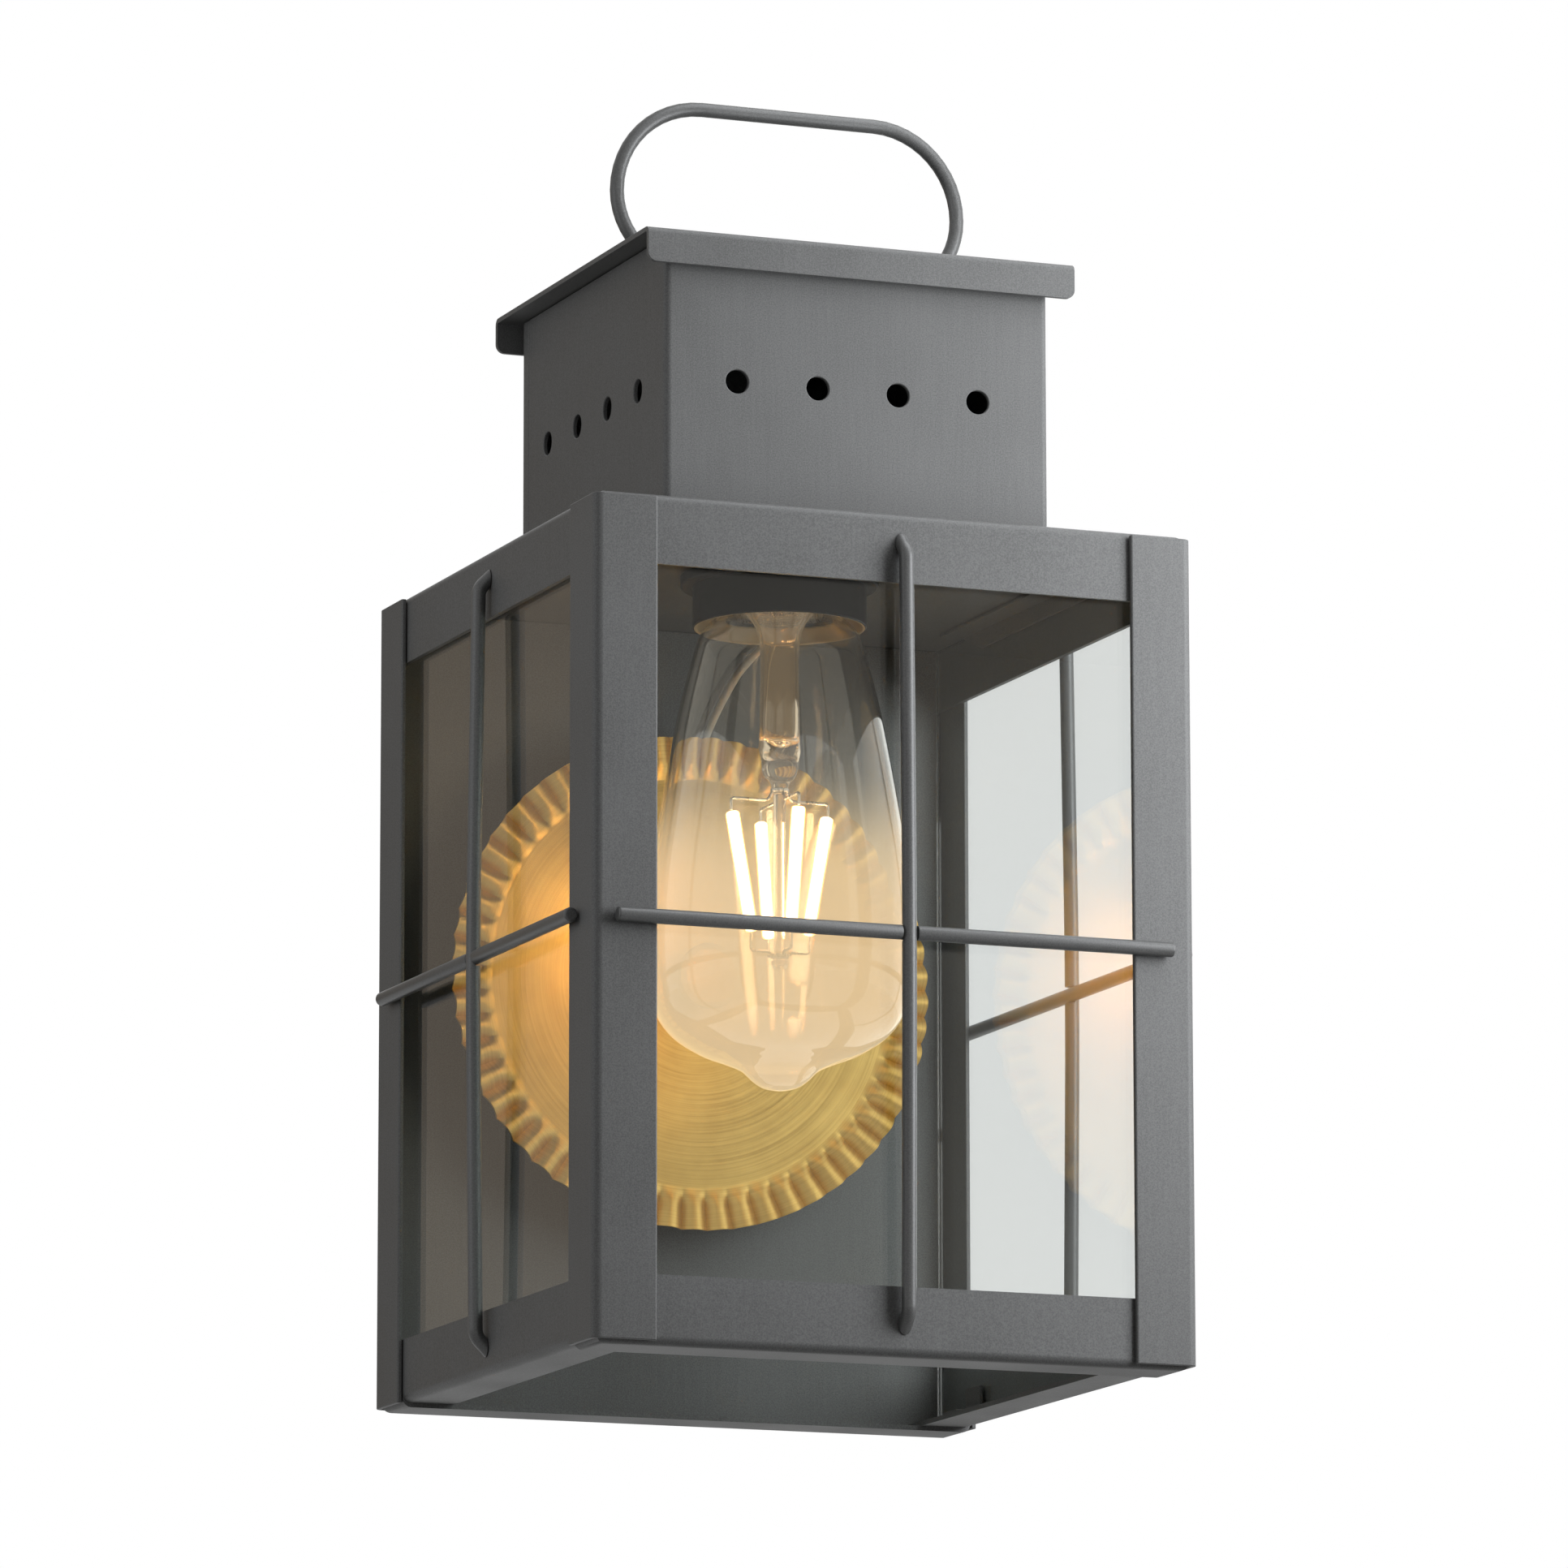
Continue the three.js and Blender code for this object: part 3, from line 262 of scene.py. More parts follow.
def rounded(
    points: Sequence[Point2], radii: float | Sequence[float], closed: bool = True, steps: int = 5
) -> list[Point2]:
    """Rounds the corners of an outline.

    Args:
        points: The corners in order.
        radii: One radius for all corners, or one for each.
        closed: Whether the last corner joins the first.
        steps: Segments in each round.

    Returns:
        The outline with an arc at each corner that has a radius.
    """
    count = len(points)
    each = [radii] * count if isinstance(radii, (int, float)) else list(radii)
    result: list[Point2] = []
    for i, corner in enumerate(points):
        here = Vector(corner)
        if each[i] <= 0 or (not closed and i in (0, count - 1)):
            result.append(corner)
            continue
        before, after = Vector(points[i - 1]) - here, Vector(points[(i + 1) % count]) - here
        half = before.angle(after) / 2
        reach = min(each[i] / math.tan(half), 0.49 * before.length, 0.49 * after.length)
        radius = reach * math.tan(half)
        middle = here + (before.normalized() + after.normalized()).normalized() * radius / math.sin(half)
        first, last = here + before.normalized() * reach, here + after.normalized() * reach
        turn = (first - middle).angle_signed(last - middle)
        for k in range(steps + 1):
            spoke = (first - middle).copy()
            spoke.rotate(Matrix.Rotation(-turn * k / steps, 2))
            result.append(tuple(middle + spoke))
    return result


def folded_outline(
    u0: float, u1: float, open_edge: float, flat: float, radius: float, steps: int
) -> list[Point2]:
    """Returns a rectangle that is square at its open edge and has rounded corners at its flat."""
    corners = [(u0, open_edge), (u0, flat), (u1, flat), (u1, open_edge)]
    return rounded(corners, [0, radius, radius, 0], steps=steps)


def smooth_line(points: Sequence[Point2], steps: int = 6) -> list[Point2]:
    """Draws a smooth curve through points.

    Args:
        points: The points in order.
        steps: Steps between each two of them.

    Returns:
        The curve's points.
    """
    padded = [Vector(p) for p in (points[0], *points, points[-1])]
    result = []
    for p0, p1, p2, p3 in zip(padded, padded[1:], padded[2:], padded[3:]):
        squared, cubed = 2 * p0 - 5 * p1 + 4 * p2 - p3, 3 * p1 - p0 - 3 * p2 + p3
        for k in range(steps):
            t = k / steps
            result.append(tuple(0.5 * (2 * p1 + (p2 - p0) * t + squared * t**2 + cubed * t**3)))
    return [*result, tuple(points[-1])]


def linked(name: str, data: ID | None) -> Object:
    """Puts data into the scene as an object of this name."""
    piece = bpy.data.objects.new(name, data)
    bpy.context.scene.collection.objects.link(piece)
    return piece


def as_object(name: str, shape: BMesh) -> Object:
    """Makes an object from a finished bmesh, with its faces pointing out.

    Args:
        name: The object's name.
        shape: The bmesh, which is used up.

    Returns:
        The object, in the scene.
    """
    bmesh.ops.recalc_face_normals(shape, faces=shape.faces)
    mesh = bpy.data.meshes.new(name)
    shape.to_mesh(mesh)
    shape.free()
    return linked(name, mesh)


@contextmanager
def edited(piece: Object) -> Iterator[BMesh]:
    """Opens a piece's mesh as a bmesh and writes it back.

    Args:
        piece: An object with a plain mesh.

    Yields:
        The bmesh, to be changed.
    """
    shape = bmesh.new()
    shape.from_mesh(piece.data)
    yield shape
    shape.to_mesh(piece.data)
    shape.free()


def prism(name: str, outline: Sequence[Point2], axis: Axis, low: float, high: float) -> Object:
    """Carries a closed outline along an axis.

    Args:
        name: The object's name.
        outline: Corners in the plane across the axis.
        axis: The direction of the prism.
        low: Where it starts.
        high: Where it ends.

    Returns:
        A closed solid.
    """
    shape = bmesh.new()
    first, last = ([shape.verts.new(axis.place(u, v, w)) for u, v in outline] for w in (low, high))
    shape.faces.new(first)
    shape.faces.new(last)
    for a, b, c, d in zip(first, first[1:] + first[:1], last[1:] + last[:1], last):
        shape.faces.new((a, b, c, d))
    return as_object(name, shape)


def block(first: Sequence[float], second: Sequence[float]) -> Object:
    """Returns a square cutter between two opposite corners, in any order."""
    (x0, x1), (y0, y1), (z0, z1) = (sorted(pair) for pair in zip(first, second))
    return prism("Block", rectangle(x0, y0, x1, y1), Axis.Z, z0, z1)


def turned(
    name: str,
    profile: Sequence[Point2],
    axis: Axis,
    centre: Vector,
    steps: int,
    flatten: Callable[[Vector], Vector] | None = None,
) -> Object:
    """Turns a profile round an axis.

    Args:
        name: The object's name.
        profile: Points of radius and height. It starts and ends on the axis, or it closes on itself.
        axis: The axis of turning.
        centre: A point that is added to every place.
        steps: Segments round the axis.
        flatten: Changes a point before the centre is added, if given.

    Returns:
        A closed solid.
    """
    shape = bmesh.new()
    angles = [2 * math.pi * i / steps for i in range(steps)]
    rings = []
    for radius, height in profile:
        on_axis = radius < SAME
        places = [(0, 0)] if on_axis else [(radius * math.cos(a), radius * math.sin(a)) for a in angles]
        rings.append([shape.verts.new(axis.place(u, v, height)) for u, v in places])
    closing = [] if len(rings[0]) == len(rings[-1]) == 1 else [(rings[-1], rings[0])]
    for lower, upper in [*zip(rings, rings[1:]), *closing]:
        for i in range(steps):
            j = (i + 1) % steps
            corners = ((lower, i), (lower, j), (upper, j), (upper, i))
            distinct = list(dict.fromkeys(ring[k % len(ring)] for ring, k in corners))
            if len(distinct) > 2:
                shape.faces.new(distinct)
    for vertex in shape.verts:
        vertex.co = (flatten(vertex.co) if flatten else vertex.co) + centre
    return as_object(name, shape)


def settled(piece: Object) -> Object:
    """Turns a piece and its modifiers into a plain mesh.

    Args:
        piece: The piece.

    Returns:
        The same object.
    """
    evaluated = piece.evaluated_get(bpy.context.evaluated_depsgraph_get())
    mesh = bpy.data.meshes.new_from_object(evaluated)
    piece.modifiers.clear()
    old, piece.data = piece.data, mesh
    mesh.name = piece.name
    bpy.data.meshes.remove(old)
    return piece


def combined(piece: Object, how: Cut, *tools: Object) -> Object:
    """Cuts, joins or crosses a piece with others.

    Args:
        piece: The piece.
        how: What is done.
        *tools: The other solids, which are used up.

    Returns:
        The same object.
    """
    for tool in tools:
        modifier = piece.modifiers.new("Combine", "BOOLEAN")
        modifier.operation = how.value
        modifier.solver = "EXACT"
        modifier.object = tool
    settled(piece)
    for tool in tools:
        bpy.data.meshes.remove(tool.data)
    return piece


def merged(piece: Object) -> Object:
    """Merges a piece's double points and the faces that lie in one plane, and returns the piece."""
    with edited(piece) as shape:
        bmesh.ops.remove_doubles(shape, verts=shape.verts, dist=SEAM)
        flat = math.radians(FLAT_ANGLE)
        bmesh.ops.dissolve_limit(shape, angle_limit=flat, verts=shape.verts, edges=shape.edges)
    return piece


def copied(node: str, ending: str) -> Object:
    """Returns a merged copy of a frame node's mesh, named for the node with an ending."""
    return merged(linked(f"{node}_{ending}", bpy.data.objects[node].data.copy()))


def softened(piece: Object, width: float, segments: int = 2, angle: float = EDGE_ANGLE) -> Object:
    """Rounds a piece's sharp edges a little, as coating and deburring do, and shades it smooth.

    Args:
        piece: A solid with sharp edges.
        width: The width of each round in metres, or 0 for none.
        segments: Steps in each round.
        angle: The least turn, in degrees, that counts as an edge.

    Returns:
        The same object with a plain mesh.
    """
    piece.data.shade_smooth()
    if width > 0:
        bevel = piece.modifiers.new("Edges", "BEVEL")
        bevel.width = width
        bevel.segments = segments
        bevel.limit_method = "ANGLE"
        bevel.angle_limit = math.radians(angle)
        bevel.miter_outer = "MITER_ARC"
    weighted = piece.modifiers.new("Shading", "WEIGHTED_NORMAL")
    weighted.keep_sharp = True
    weighted.weight = FACE_WEIGHT
    piece.data.set_sharp_from_angle(angle=math.radians(SHARP_ANGLE))
    return settled(piece)


def dress(
    piece: Object,
    finish: Finish,
    node: str,
    edge: float = 0.0,
    segments: int = 2,
    angle: float = EDGE_ANGLE,
    body: str = LANTERN,
) -> None:
    """Rounds a piece's edges, gives it its material and body, hides the frame node that it stands for, and
    reports it.

    Args:
        piece: The shaped piece.
        finish: Its finish, which names its slot.
        node: The frame node that it stands for.
        edge: The width of its rounded edges, or 0 for none.
        segments: Steps in each round.
        angle: The least turn, in degrees, that counts as an edge.
        body: The body that it rides on.
    """
    softened(piece, edge, segments, angle)
    piece.data.materials.clear()
    piece.data.materials.append(finish.material())
    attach(piece, body)
    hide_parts(node)
    log.info("%s: %d faces on %s", piece.name, len(piece.data.polygons), body)


def dress_copies(rows: Iterable[tuple[str, Finish, float]], segments: int = 2, body: str = LANTERN) -> None:
    """Dresses softened copies of frame nodes.

    Args:
        rows: Each node with its finish and the width of its rounded edges.
        segments: Steps in each round.
        body: The body that they ride on.
    """
    for node, finish, edge in rows:
        dress(copied(node, "soft"), finish, node, edge, segments, body=body)


# Shapes grown by node trees


class ShapeTree(Nodes):
    """A geometry tree with named sizes, whose result has its material and holds no instances."""

    def __init__(self, name: str, sizes: dict[str, float]) -> None:
        """Starts the tree.

        Args:
            name: Its name.
            sizes: The first value of each size, by the size's name.
        """
        super().__init__(bpy.data.node_groups.new(name, "GeometryNodeTree"))
        sockets = self.tree.interface
        for way in ("INPUT", "OUTPUT"):
            sockets.new_socket("Geometry", in_out=way, socket_type="NodeSocketGeometry")
        for size, value in sizes.items():
            kind = "NodeSocketInt" if isinstance(value, int) else "NodeSocketFloat"
            sockets.new_socket(size, in_out="INPUT", socket_type=kind).default_value = value
        sockets.new_socket("Material", in_out="INPUT", socket_type="NodeSocketMaterial")
        self.sizes = self.add("NodeGroupInput").outputs

    def joined(self, *parts: NodeSocket) -> NodeSocket:
        """Joins meshes, in their order.

        Args:
            *parts: The meshes.

        Returns:
            All of them as one.
        """
        whole = self.add("GeometryNodeJoinGeometry")
        for part in parts:
            self.tree.links.new(part, whole.inputs[0])
        return whole.outputs[0]

    def finish(self, geometry: NodeSocket) -> None:
        """Ends the tree with real geometry and its material."""
        real = self.out("GeometryNodeRealizeInstances", {0: geometry})
        painted = self.out("GeometryNodeSetMaterial", {"Geometry": real, "Material": self.sizes["Material"]})
        self.add("NodeGroupOutput", {"Geometry": painted})

    def grow(self, name: str, sizes: dict[str, float], finish: Finish, base: Object | None = None) -> Object:
        """Makes a plain mesh with these sizes.

        Args:
            name: The object's name.
            sizes: Values by the tree's own names.
            finish: The piece's finish.
            base: The object that the tree works on, or None for an empty one.

        Returns:
            The object, closed and with its faces pointing out.
        """
        if base is None:
            base = linked(name, bpy.data.meshes.new(name))
        modifier = base.modifiers.new("Shape", "NODES")
        modifier.node_group = self.tree
        values = {**sizes, "Material": finish.material()}
        for item in self.tree.interface.items_tree:
            if item.in_out == "INPUT" and item.name in values:
                modifier[item.identifier] = values[item.name]
        with edited(settled(base)) as shape:
            bmesh.ops.remove_doubles(shape, verts=shape.verts, dist=SAME)
            bmesh.ops.recalc_face_normals(shape, faces=shape.faces)
        return base


class RodTree(ShapeTree):
    """Bends a line of corners into a round rod: each corner gets its own bend radius."""

    def __init__(self) -> None:
        """Builds the tree."""
        super().__init__("Bent rod", {"Diameter": 3.5 * MM, "Sides": 24, "Bend steps": 12})
        size = self.sizes
        line = self.out("GeometryNodeMeshToCurve", {0: size["Geometry"]})
        bend = self.out("GeometryNodeInputNamedAttribute", {"Name": "bend"}, data_type="FLOAT")
        corners = {"Curve": line, "Radius": bend, "Count": size["Bend steps"]}
        fillet = self.out("GeometryNodeFilletCurve", corners, mode="POLY")
        round_section = {"Resolution": size["Sides"], "Radius": self.math("DIVIDE", size["Diameter"], 2.0)}
        section = self.out("GeometryNodeCurvePrimitiveCircle", round_section)
        rod = {"Curve": fillet, "Profile Curve": section, "Fill Caps": True}
        self.finish(self.out("GeometryNodeCurveToMesh", rod))

    def bent(
        self,
        name: str,
        corners: Sequence[Vector],
        bends: Sequence[float],
        diameter: float,
        finish: Finish,
        sides: int = 32,
    ) -> Object:
        """Bends a rod.

        Args:
            name: The object's name.
            corners: The corners of its middle line.
            bends: The radius of the bend at each corner.
            diameter: Its diameter.
            finish: Its finish.
            sides: Segments round it.

        Returns:
            The closed rod.
        """
        mesh = bpy.data.meshes.new(name)
        mesh.from_pydata([tuple(c) for c in corners], [(i, i + 1) for i in range(len(corners) - 1)], [])
        mesh.attributes.new("bend", "FLOAT", "POINT").data.foreach_set("value", list(bends))
        return self.grow(name, {"Diameter": diameter, "Sides": sides}, finish, linked(name, mesh))


class WrappedTree(ShapeTree):
    """A shape that wraps a grid once round an axis and gives it a thickness."""

    def grid(self) -> tuple[NodeSocket, NodeSocket, NodeSocket, NodeSocket]:
        """Adds the grid.

        Returns:
            The grid, the turn from -0.5 to 0.5, the same as an angle, and the share of the way along.
        """
        across, along = self.plus(self.sizes["Steps round"], 1.0), self.sizes["Steps along"]
        counts = {"Size X": 1.0, "Size Y": 1.0, "Vertices X": across, "Vertices Y": along}
        grid = self.out("GeometryNodeMeshGrid", counts)
        place = self.add("ShaderNodeSeparateXYZ", {0: self.out("GeometryNodeInputPosition")}).outputs
        return grid, place[0], self.times(place[0], 2 * math.pi), self.plus(place[1], 0.5)

    def wrap(self, grid: NodeSocket, place: Sequence[NodeSocket], thickness: dict) -> None:
        """Moves the grid to its place, merges its seam, thickens it and ends the tree.

        Args:
            grid: The flat grid.
            place: The new X, Y and Z of its points.
            thickness: The inputs that thicken it.
        """
        wrapped = self.out("GeometryNodeSetPosition", {"Geometry": grid, "Position": self.xyz(*place)})
        skin = self.out("GeometryNodeMergeByDistance", {"Geometry": wrapped, "Distance": SEAM})
        other = self.out("GeometryNodeExtrudeMesh", {"Mesh": skin, "Individual": False, **thickness})
        both = self.joined(other, self.out("GeometryNodeFlipFaces", {0: skin}))
        self.finish(self.out("GeometryNodeMergeByDistance", {0: both, "Distance": SEAM}))


class WallTree(WrappedTree):
    """Wraps a grid into a round wall, with flutes or a thread."""

    def __init__(self) -> None:
        """Builds the tree."""
        radii = {"Low radius": 10 * MM, "High radius": 10 * MM, "Length": 20 * MM}
        waves = {"Flutes": 1.0, "Turns": 6.0, "Depth": 0.5 * MM, "Wall": 0.5 * MM}
        super().__init__("Fluted wall", {**radii, **waves, "Steps round": 64, "Steps along": 80})
        size = self.sizes
        grid, _, angle, share = self.grid()
        turning = self.times(share, self.times(size["Turns"], 2 * math.pi))
        phase = self.plus(self.times(angle, size["Flutes"]), turning)
        # The flutes or threads run out smoothly over the last twelfth at both ends
        near_end = self.math("MINIMUM", share, self.minus(1.0, share))
        fade = self.math("MINIMUM", self.times(near_end, 12.0), 1.0)
        wave = self.times(self.math("COSINE", phase), size["Depth"], fade)
        taper = self.times(self.minus(size["High radius"], size["Low radius"]), share)
        radius = self.plus(size["Low radius"], taper, wave)
        x, y = (self.times(radius, self.math(way, angle)) for way in ("COSINE", "SINE"))
        self.wrap(grid, (x, y, self.times(share, size["Length"])), {"Offset Scale": size["Wall"]})

    def rolled(
        self,
        name: str,
        finish: Finish,
        radii: Point2,
        length: float,
        turns: float,
        depth: float,
        wall: float,
        steps: tuple[int, int],
        flutes: float = 1.0,
    ) -> Object:
        """Makes a wall that stands on the origin.

        Args:
            name: The object's name.
            finish: Its finish.
            radii: The radius at its foot and at its top.
            length: Its height.
            turns: Turns of the thread, below 0 for a right-hand one.
            depth: Half the height of the thread or flutes.
            wall: Its thickness, inwards.
            steps: Steps round it and along it.
            flutes: The number of flutes, or of starts of the thread.

        Returns:
            The closed wall.
        """
        sizes = {"Low radius": radii[0], "High radius": radii[1], "Length": length, "Turns": turns}
        sizes |= {"Depth": depth, "Wall": -wall, "Steps round": steps[0], "Steps along": steps[1]}
        return self.grow(name, {**sizes, "Flutes": flutes}, finish)

    def threaded(self, node: str, axis: Axis, bore: float, finish: Finish) -> None:
        """Builds a threaded tube or rod where a frame node is.

        Args:
            node: The frame node that it replaces.
            axis: Its axis.
            bore: The bore's diameter, or 0 for a solid rod.
            finish: Its finish.
        """
        low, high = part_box(node)
        across, _, along = axis.value
        length, radius = (high - low)[along], (high - low)[across] / 2
        depth, pitch = mm(0.25, 1.0)
        radii = (radius - depth, radius - depth)
        wall = radius - bore / 2 - depth if bore else 0.8 * radius
        turns, steps = -length / pitch, (48, int(8 * length / pitch))
        piece = self.rolled(f"{node}_threaded", finish, radii, length, turns, depth, wall, steps)
        with edited(piece) as shape:
            if not bore:
                core = [v for v in shape.verts if math.hypot(v.co.x, v.co.y) < 0.5 * radius]
                bmesh.ops.delete(shape, geom=core, context="VERTS")
                bmesh.ops.holes_fill(shape, edges=[e for e in shape.edges if e.is_boundary], sides=0)
                bmesh.ops.recalc_face_normals(shape, faces=shape.faces)
            foot = (low + high) / 2
            foot[along] = low[along]
            turn = Vector((0, 0, 1)).rotation_difference(axis.place(0, 0, 1)).to_matrix().to_4x4()
            bmesh.ops.transform(shape, matrix=Matrix.Translation(foot) @ turn, verts=shape.verts)
        dress(piece, finish, node)


class PleatTree(WrappedTree):
    """Makes a round sheet whose rim is pressed into pleats that deepen outwards."""

    def __init__(self) -> None:
        """Builds the tree."""
        radii = {"Bore radius": 5 * MM, "Flat radius": 52 * MM, "Rim radius": 63 * MM, "Pleats": 57.0}
        depths = {"Pleat depth": 1.5 * MM, "Run-in": 4 * MM, "Dish": 1.2 * MM, "Sheet": 0.8 * MM}
        super().__init__("Pleated disc", {**radii, **depths, "Steps round": 57 * 16, "Steps along": 41})
        size = self.sizes
        flat = size["Flat radius"]
        grid, turn, angle, share = self.grid()
        # The first quarter of the rings spans the flat, and the rest the pleated rim
        on_flat = self.math("MINIMUM", self.times(share, 4.0), 1.0)
        on_rim = self.math("MAXIMUM", self.math("DIVIDE", self.minus(share, 0.25), 0.75), 0.0)
        flat_part = self.times(on_flat, self.minus(flat, size["Bore radius"]))
        rim_part = self.times(on_rim, self.minus(size["Rim radius"], flat))
        radius = self.plus(size["Bore radius"], flat_part, rim_part)
        beyond = self.minus(radius, flat)
        depth = self.ramp(beyond, high=size["Pleat depth"], end=size["Run-in"], curve="SMOOTHSTEP")
        # Each pleat is a round hump between two sharp valleys
        hump = self.math("SINE", self.times(self.math("FRACT", self.times(turn, size["Pleats"])), math.pi))
        wave = self.times(depth, self.minus(self.times(hump, 2.0), 1.0))
        forward = self.plus(wave, self.times(on_rim, size["Dish"]))
        x, z = (self.times(radius, self.math(way, angle)) for way in ("SINE", "COSINE"))
        lift = {"Offset": self.xyz(0.0, size["Sheet"]), "Offset Scale": 1.0}
        self.wrap(grid, (x, self.times(forward, -1.0), z), lift)


class VentTree(ShapeTree):
    """Punches a row of round holes through the front and through both sides of a folded sheet."""

    def __init__(self) -> None:
        """Builds the tree."""
        holes = {"Diameter": 5.8 * MM, "Pitch": 20.7 * MM, "Count": 4, "Reach": 120 * MM}
        places = {"Height": 30 * MM, "Middle depth": 0.0, "Front depth": -50 * MM}
        super().__init__("Vent holes", {**holes, **places})
        size = self.sizes
        bit = {"Vertices": 48, "Radius": self.math("DIVIDE", size["Diameter"], 2.0), "Depth": size["Reach"]}
        cutter = self.out("GeometryNodeMeshCylinder", bit)
        # The front row is short, so that it stops inside the chimney
        short = self.out("GeometryNodeTransform", {"Geometry": cutter, "Scale": (1.0, 1.0, 0.2)})
        first = self.times(size["Pitch"], self.minus(size["Count"], 1.0), -0.5)
        side_start = self.plus(size["Middle depth"], first)
        quarter = math.pi / 2
        rows = []
        for tool, start, step, turn in (
            (short, (first, size["Front depth"]), (size["Pitch"],), (quarter, 0.0, 0.0)),
            (cutter, (0.0, side_start), (0.0, size["Pitch"]), (0.0, quarter, 0.0)),
        ):
            ends = {"Start Location": self.xyz(*start, size["Height"]), "Offset": self.xyz(*step)}
            line = self.out("GeometryNodeMeshLine", {"Count": size["Count"], **ends})
            copies = {"Points": line, "Instance": tool, "Rotation": turn}
            rows.append(self.out("GeometryNodeInstanceOnPoints", copies))
        real = self.out("GeometryNodeRealizeInstances", {0: self.joined(*rows)})
        meshes = {0: size["Geometry"], 1: real}
        self.finish(self.out("GeometryNodeMeshBoolean", meshes, operation="DIFFERENCE", solver="EXACT"))


# Finishes


class PaintNodes(Nodes):
    """Adds nodes to a material's tree."""

    def shade(self, inputs: dict) -> None:
        """Sets or links the inputs of the main shader."""
        self.feed(self.tree.nodes["Principled BSDF"], inputs)

    def show(self, shader: NodeSocket) -> None:
        """Makes a shader the one that is seen."""
        self.tree.links.new(shader, self.tree.nodes["Material Output"].inputs["Surface"])

    def clear(self, factor: NodeSocket, colour: int = 0xFFFFFF) -> None:
        """Lets rays pass the main shader, tinted by a colour, as far as the factor says."""
        shaders = {1: self.tree.nodes["Principled BSDF"].outputs[0]}
        shaders[2] = self.out("ShaderNodeBsdfTransparent", {"Color": linear(colour)})
        self.show(self.out("ShaderNodeMixShader", {0: factor, **shaders}))

    def place(self) -> NodeSocket:
        """Returns the place on the object, in metres."""
        return self.add("ShaderNodeTexCoord").outputs["Object"]

    def grain(self, size: float, stretch: Sequence[float] = (1, 1, 1), detail: float = 2) -> NodeSocket:
        """Adds a noise whose grains have a real size.

        Args:
            size: The grain's width in metres.
            stretch: How many times finer the grain is along each axis.
            detail: Finer layers in the noise.

        Returns:
            The noise's value, near 0.5 on average.
        """
        scale = tuple(share / size for share in stretch)
        mapped = self.out("ShaderNodeMapping", {"Vector": self.place(), "Scale": scale})
        return self.out("ShaderNodeTexNoise", {"Vector": mapped, "Scale": 1.0, "Detail": detail})

    def spread(self, noise: NodeSocket, low: float, high: float, edge: float = 0.3) -> NodeSocket:
        """Spreads a noise between two limits, which it reaches at the edge and at 1 less the edge."""
        return self.ramp(noise, low, high, edge, 1 - edge)

    def tinted(self, factor: NodeSocket, first: int | NodeSocket, second: int) -> NodeSocket:
        """Mixes two colours, of which the first may be a socket, by a factor."""
        start = first if isinstance(first, NodeSocket) else linear(first)
        mix = self.add("ShaderNodeMix", {0: factor, 6: start, 7: linear(second)}, data_type="RGBA")
        return mix.outputs[2]

    def bump(self, height: NodeSocket, strength: float, distance: float, **below: NodeSocket) -> NodeSocket:
        """Returns a surface direction with a relief, over the one below if it is given as Normal."""
        relief = {"Strength": strength, "Distance": distance, "Height": height}
        return self.out("ShaderNodeBump", {**relief, **below})


def new_material(name: str) -> tuple[Material, PaintNodes]:
    """Makes a material and returns it with its tree."""
    material = bpy.data.materials.new(name)
    material.use_nodes = True
    return material, PaintNodes(material.node_tree)


@dataclass(frozen=True)
class Finish:
    """A surface finish and the slot that it fills. Its material is built once and shared."""

    name: str
    slot: str

    def material(self) -> Material:
        """Returns the finish's material, which is built on first use."""
        found = bpy.data.materials.get(self.name)
        if found is None:
            found, nodes = new_material(self.name)
            self.build(nodes)
        return found

    def build(self, nodes: PaintNodes) -> None:
        """Fills the material's tree. Each kind of finish has its own."""
        raise NotImplementedError


@dataclass(frozen=True)
class PowderCoat(Finish):
    """Graphite powder coat on sheet steel: baked pigment with fine flake, over faint sheet marks."""

    dark: int = 0x565655
    light: int = 0x767675
    roughness: float = 0.5
    flake: float = 0.32 * MM
    mottle: float = 26 * MM
    brush: float = 0.7 * MM
    gloss: float = 0.3

    def build(self, nodes: PaintNodes) -> None:
        """Mixes flake, soft mottle and faint brush marks of the sheet below into colour, gloss and bump."""
        fine, broad = nodes.grain(self.flake), nodes.grain(self.mottle, detail=3)
        marks = nodes.grain(self.brush, stretch=(1, 1, 0.04))
        flakes, clouds = nodes.spread(fine, 0.0, 0.6, 0.34), nodes.spread(broad, 0.0, 0.2)
        tone = nodes.plus(flakes, clouds, nodes.spread(marks, 0.0, 0.1))
        nodes.shade({
            "Base Color": nodes.tinted(tone, self.dark, self.light),
            "Roughness": nodes.spread(broad, self.roughness - 0.04, self.roughness + 0.05),
            "Normal": nodes.bump(fine, 0.12, 0.05 * MM),
            "Specular IOR Level": self.gloss,
        })


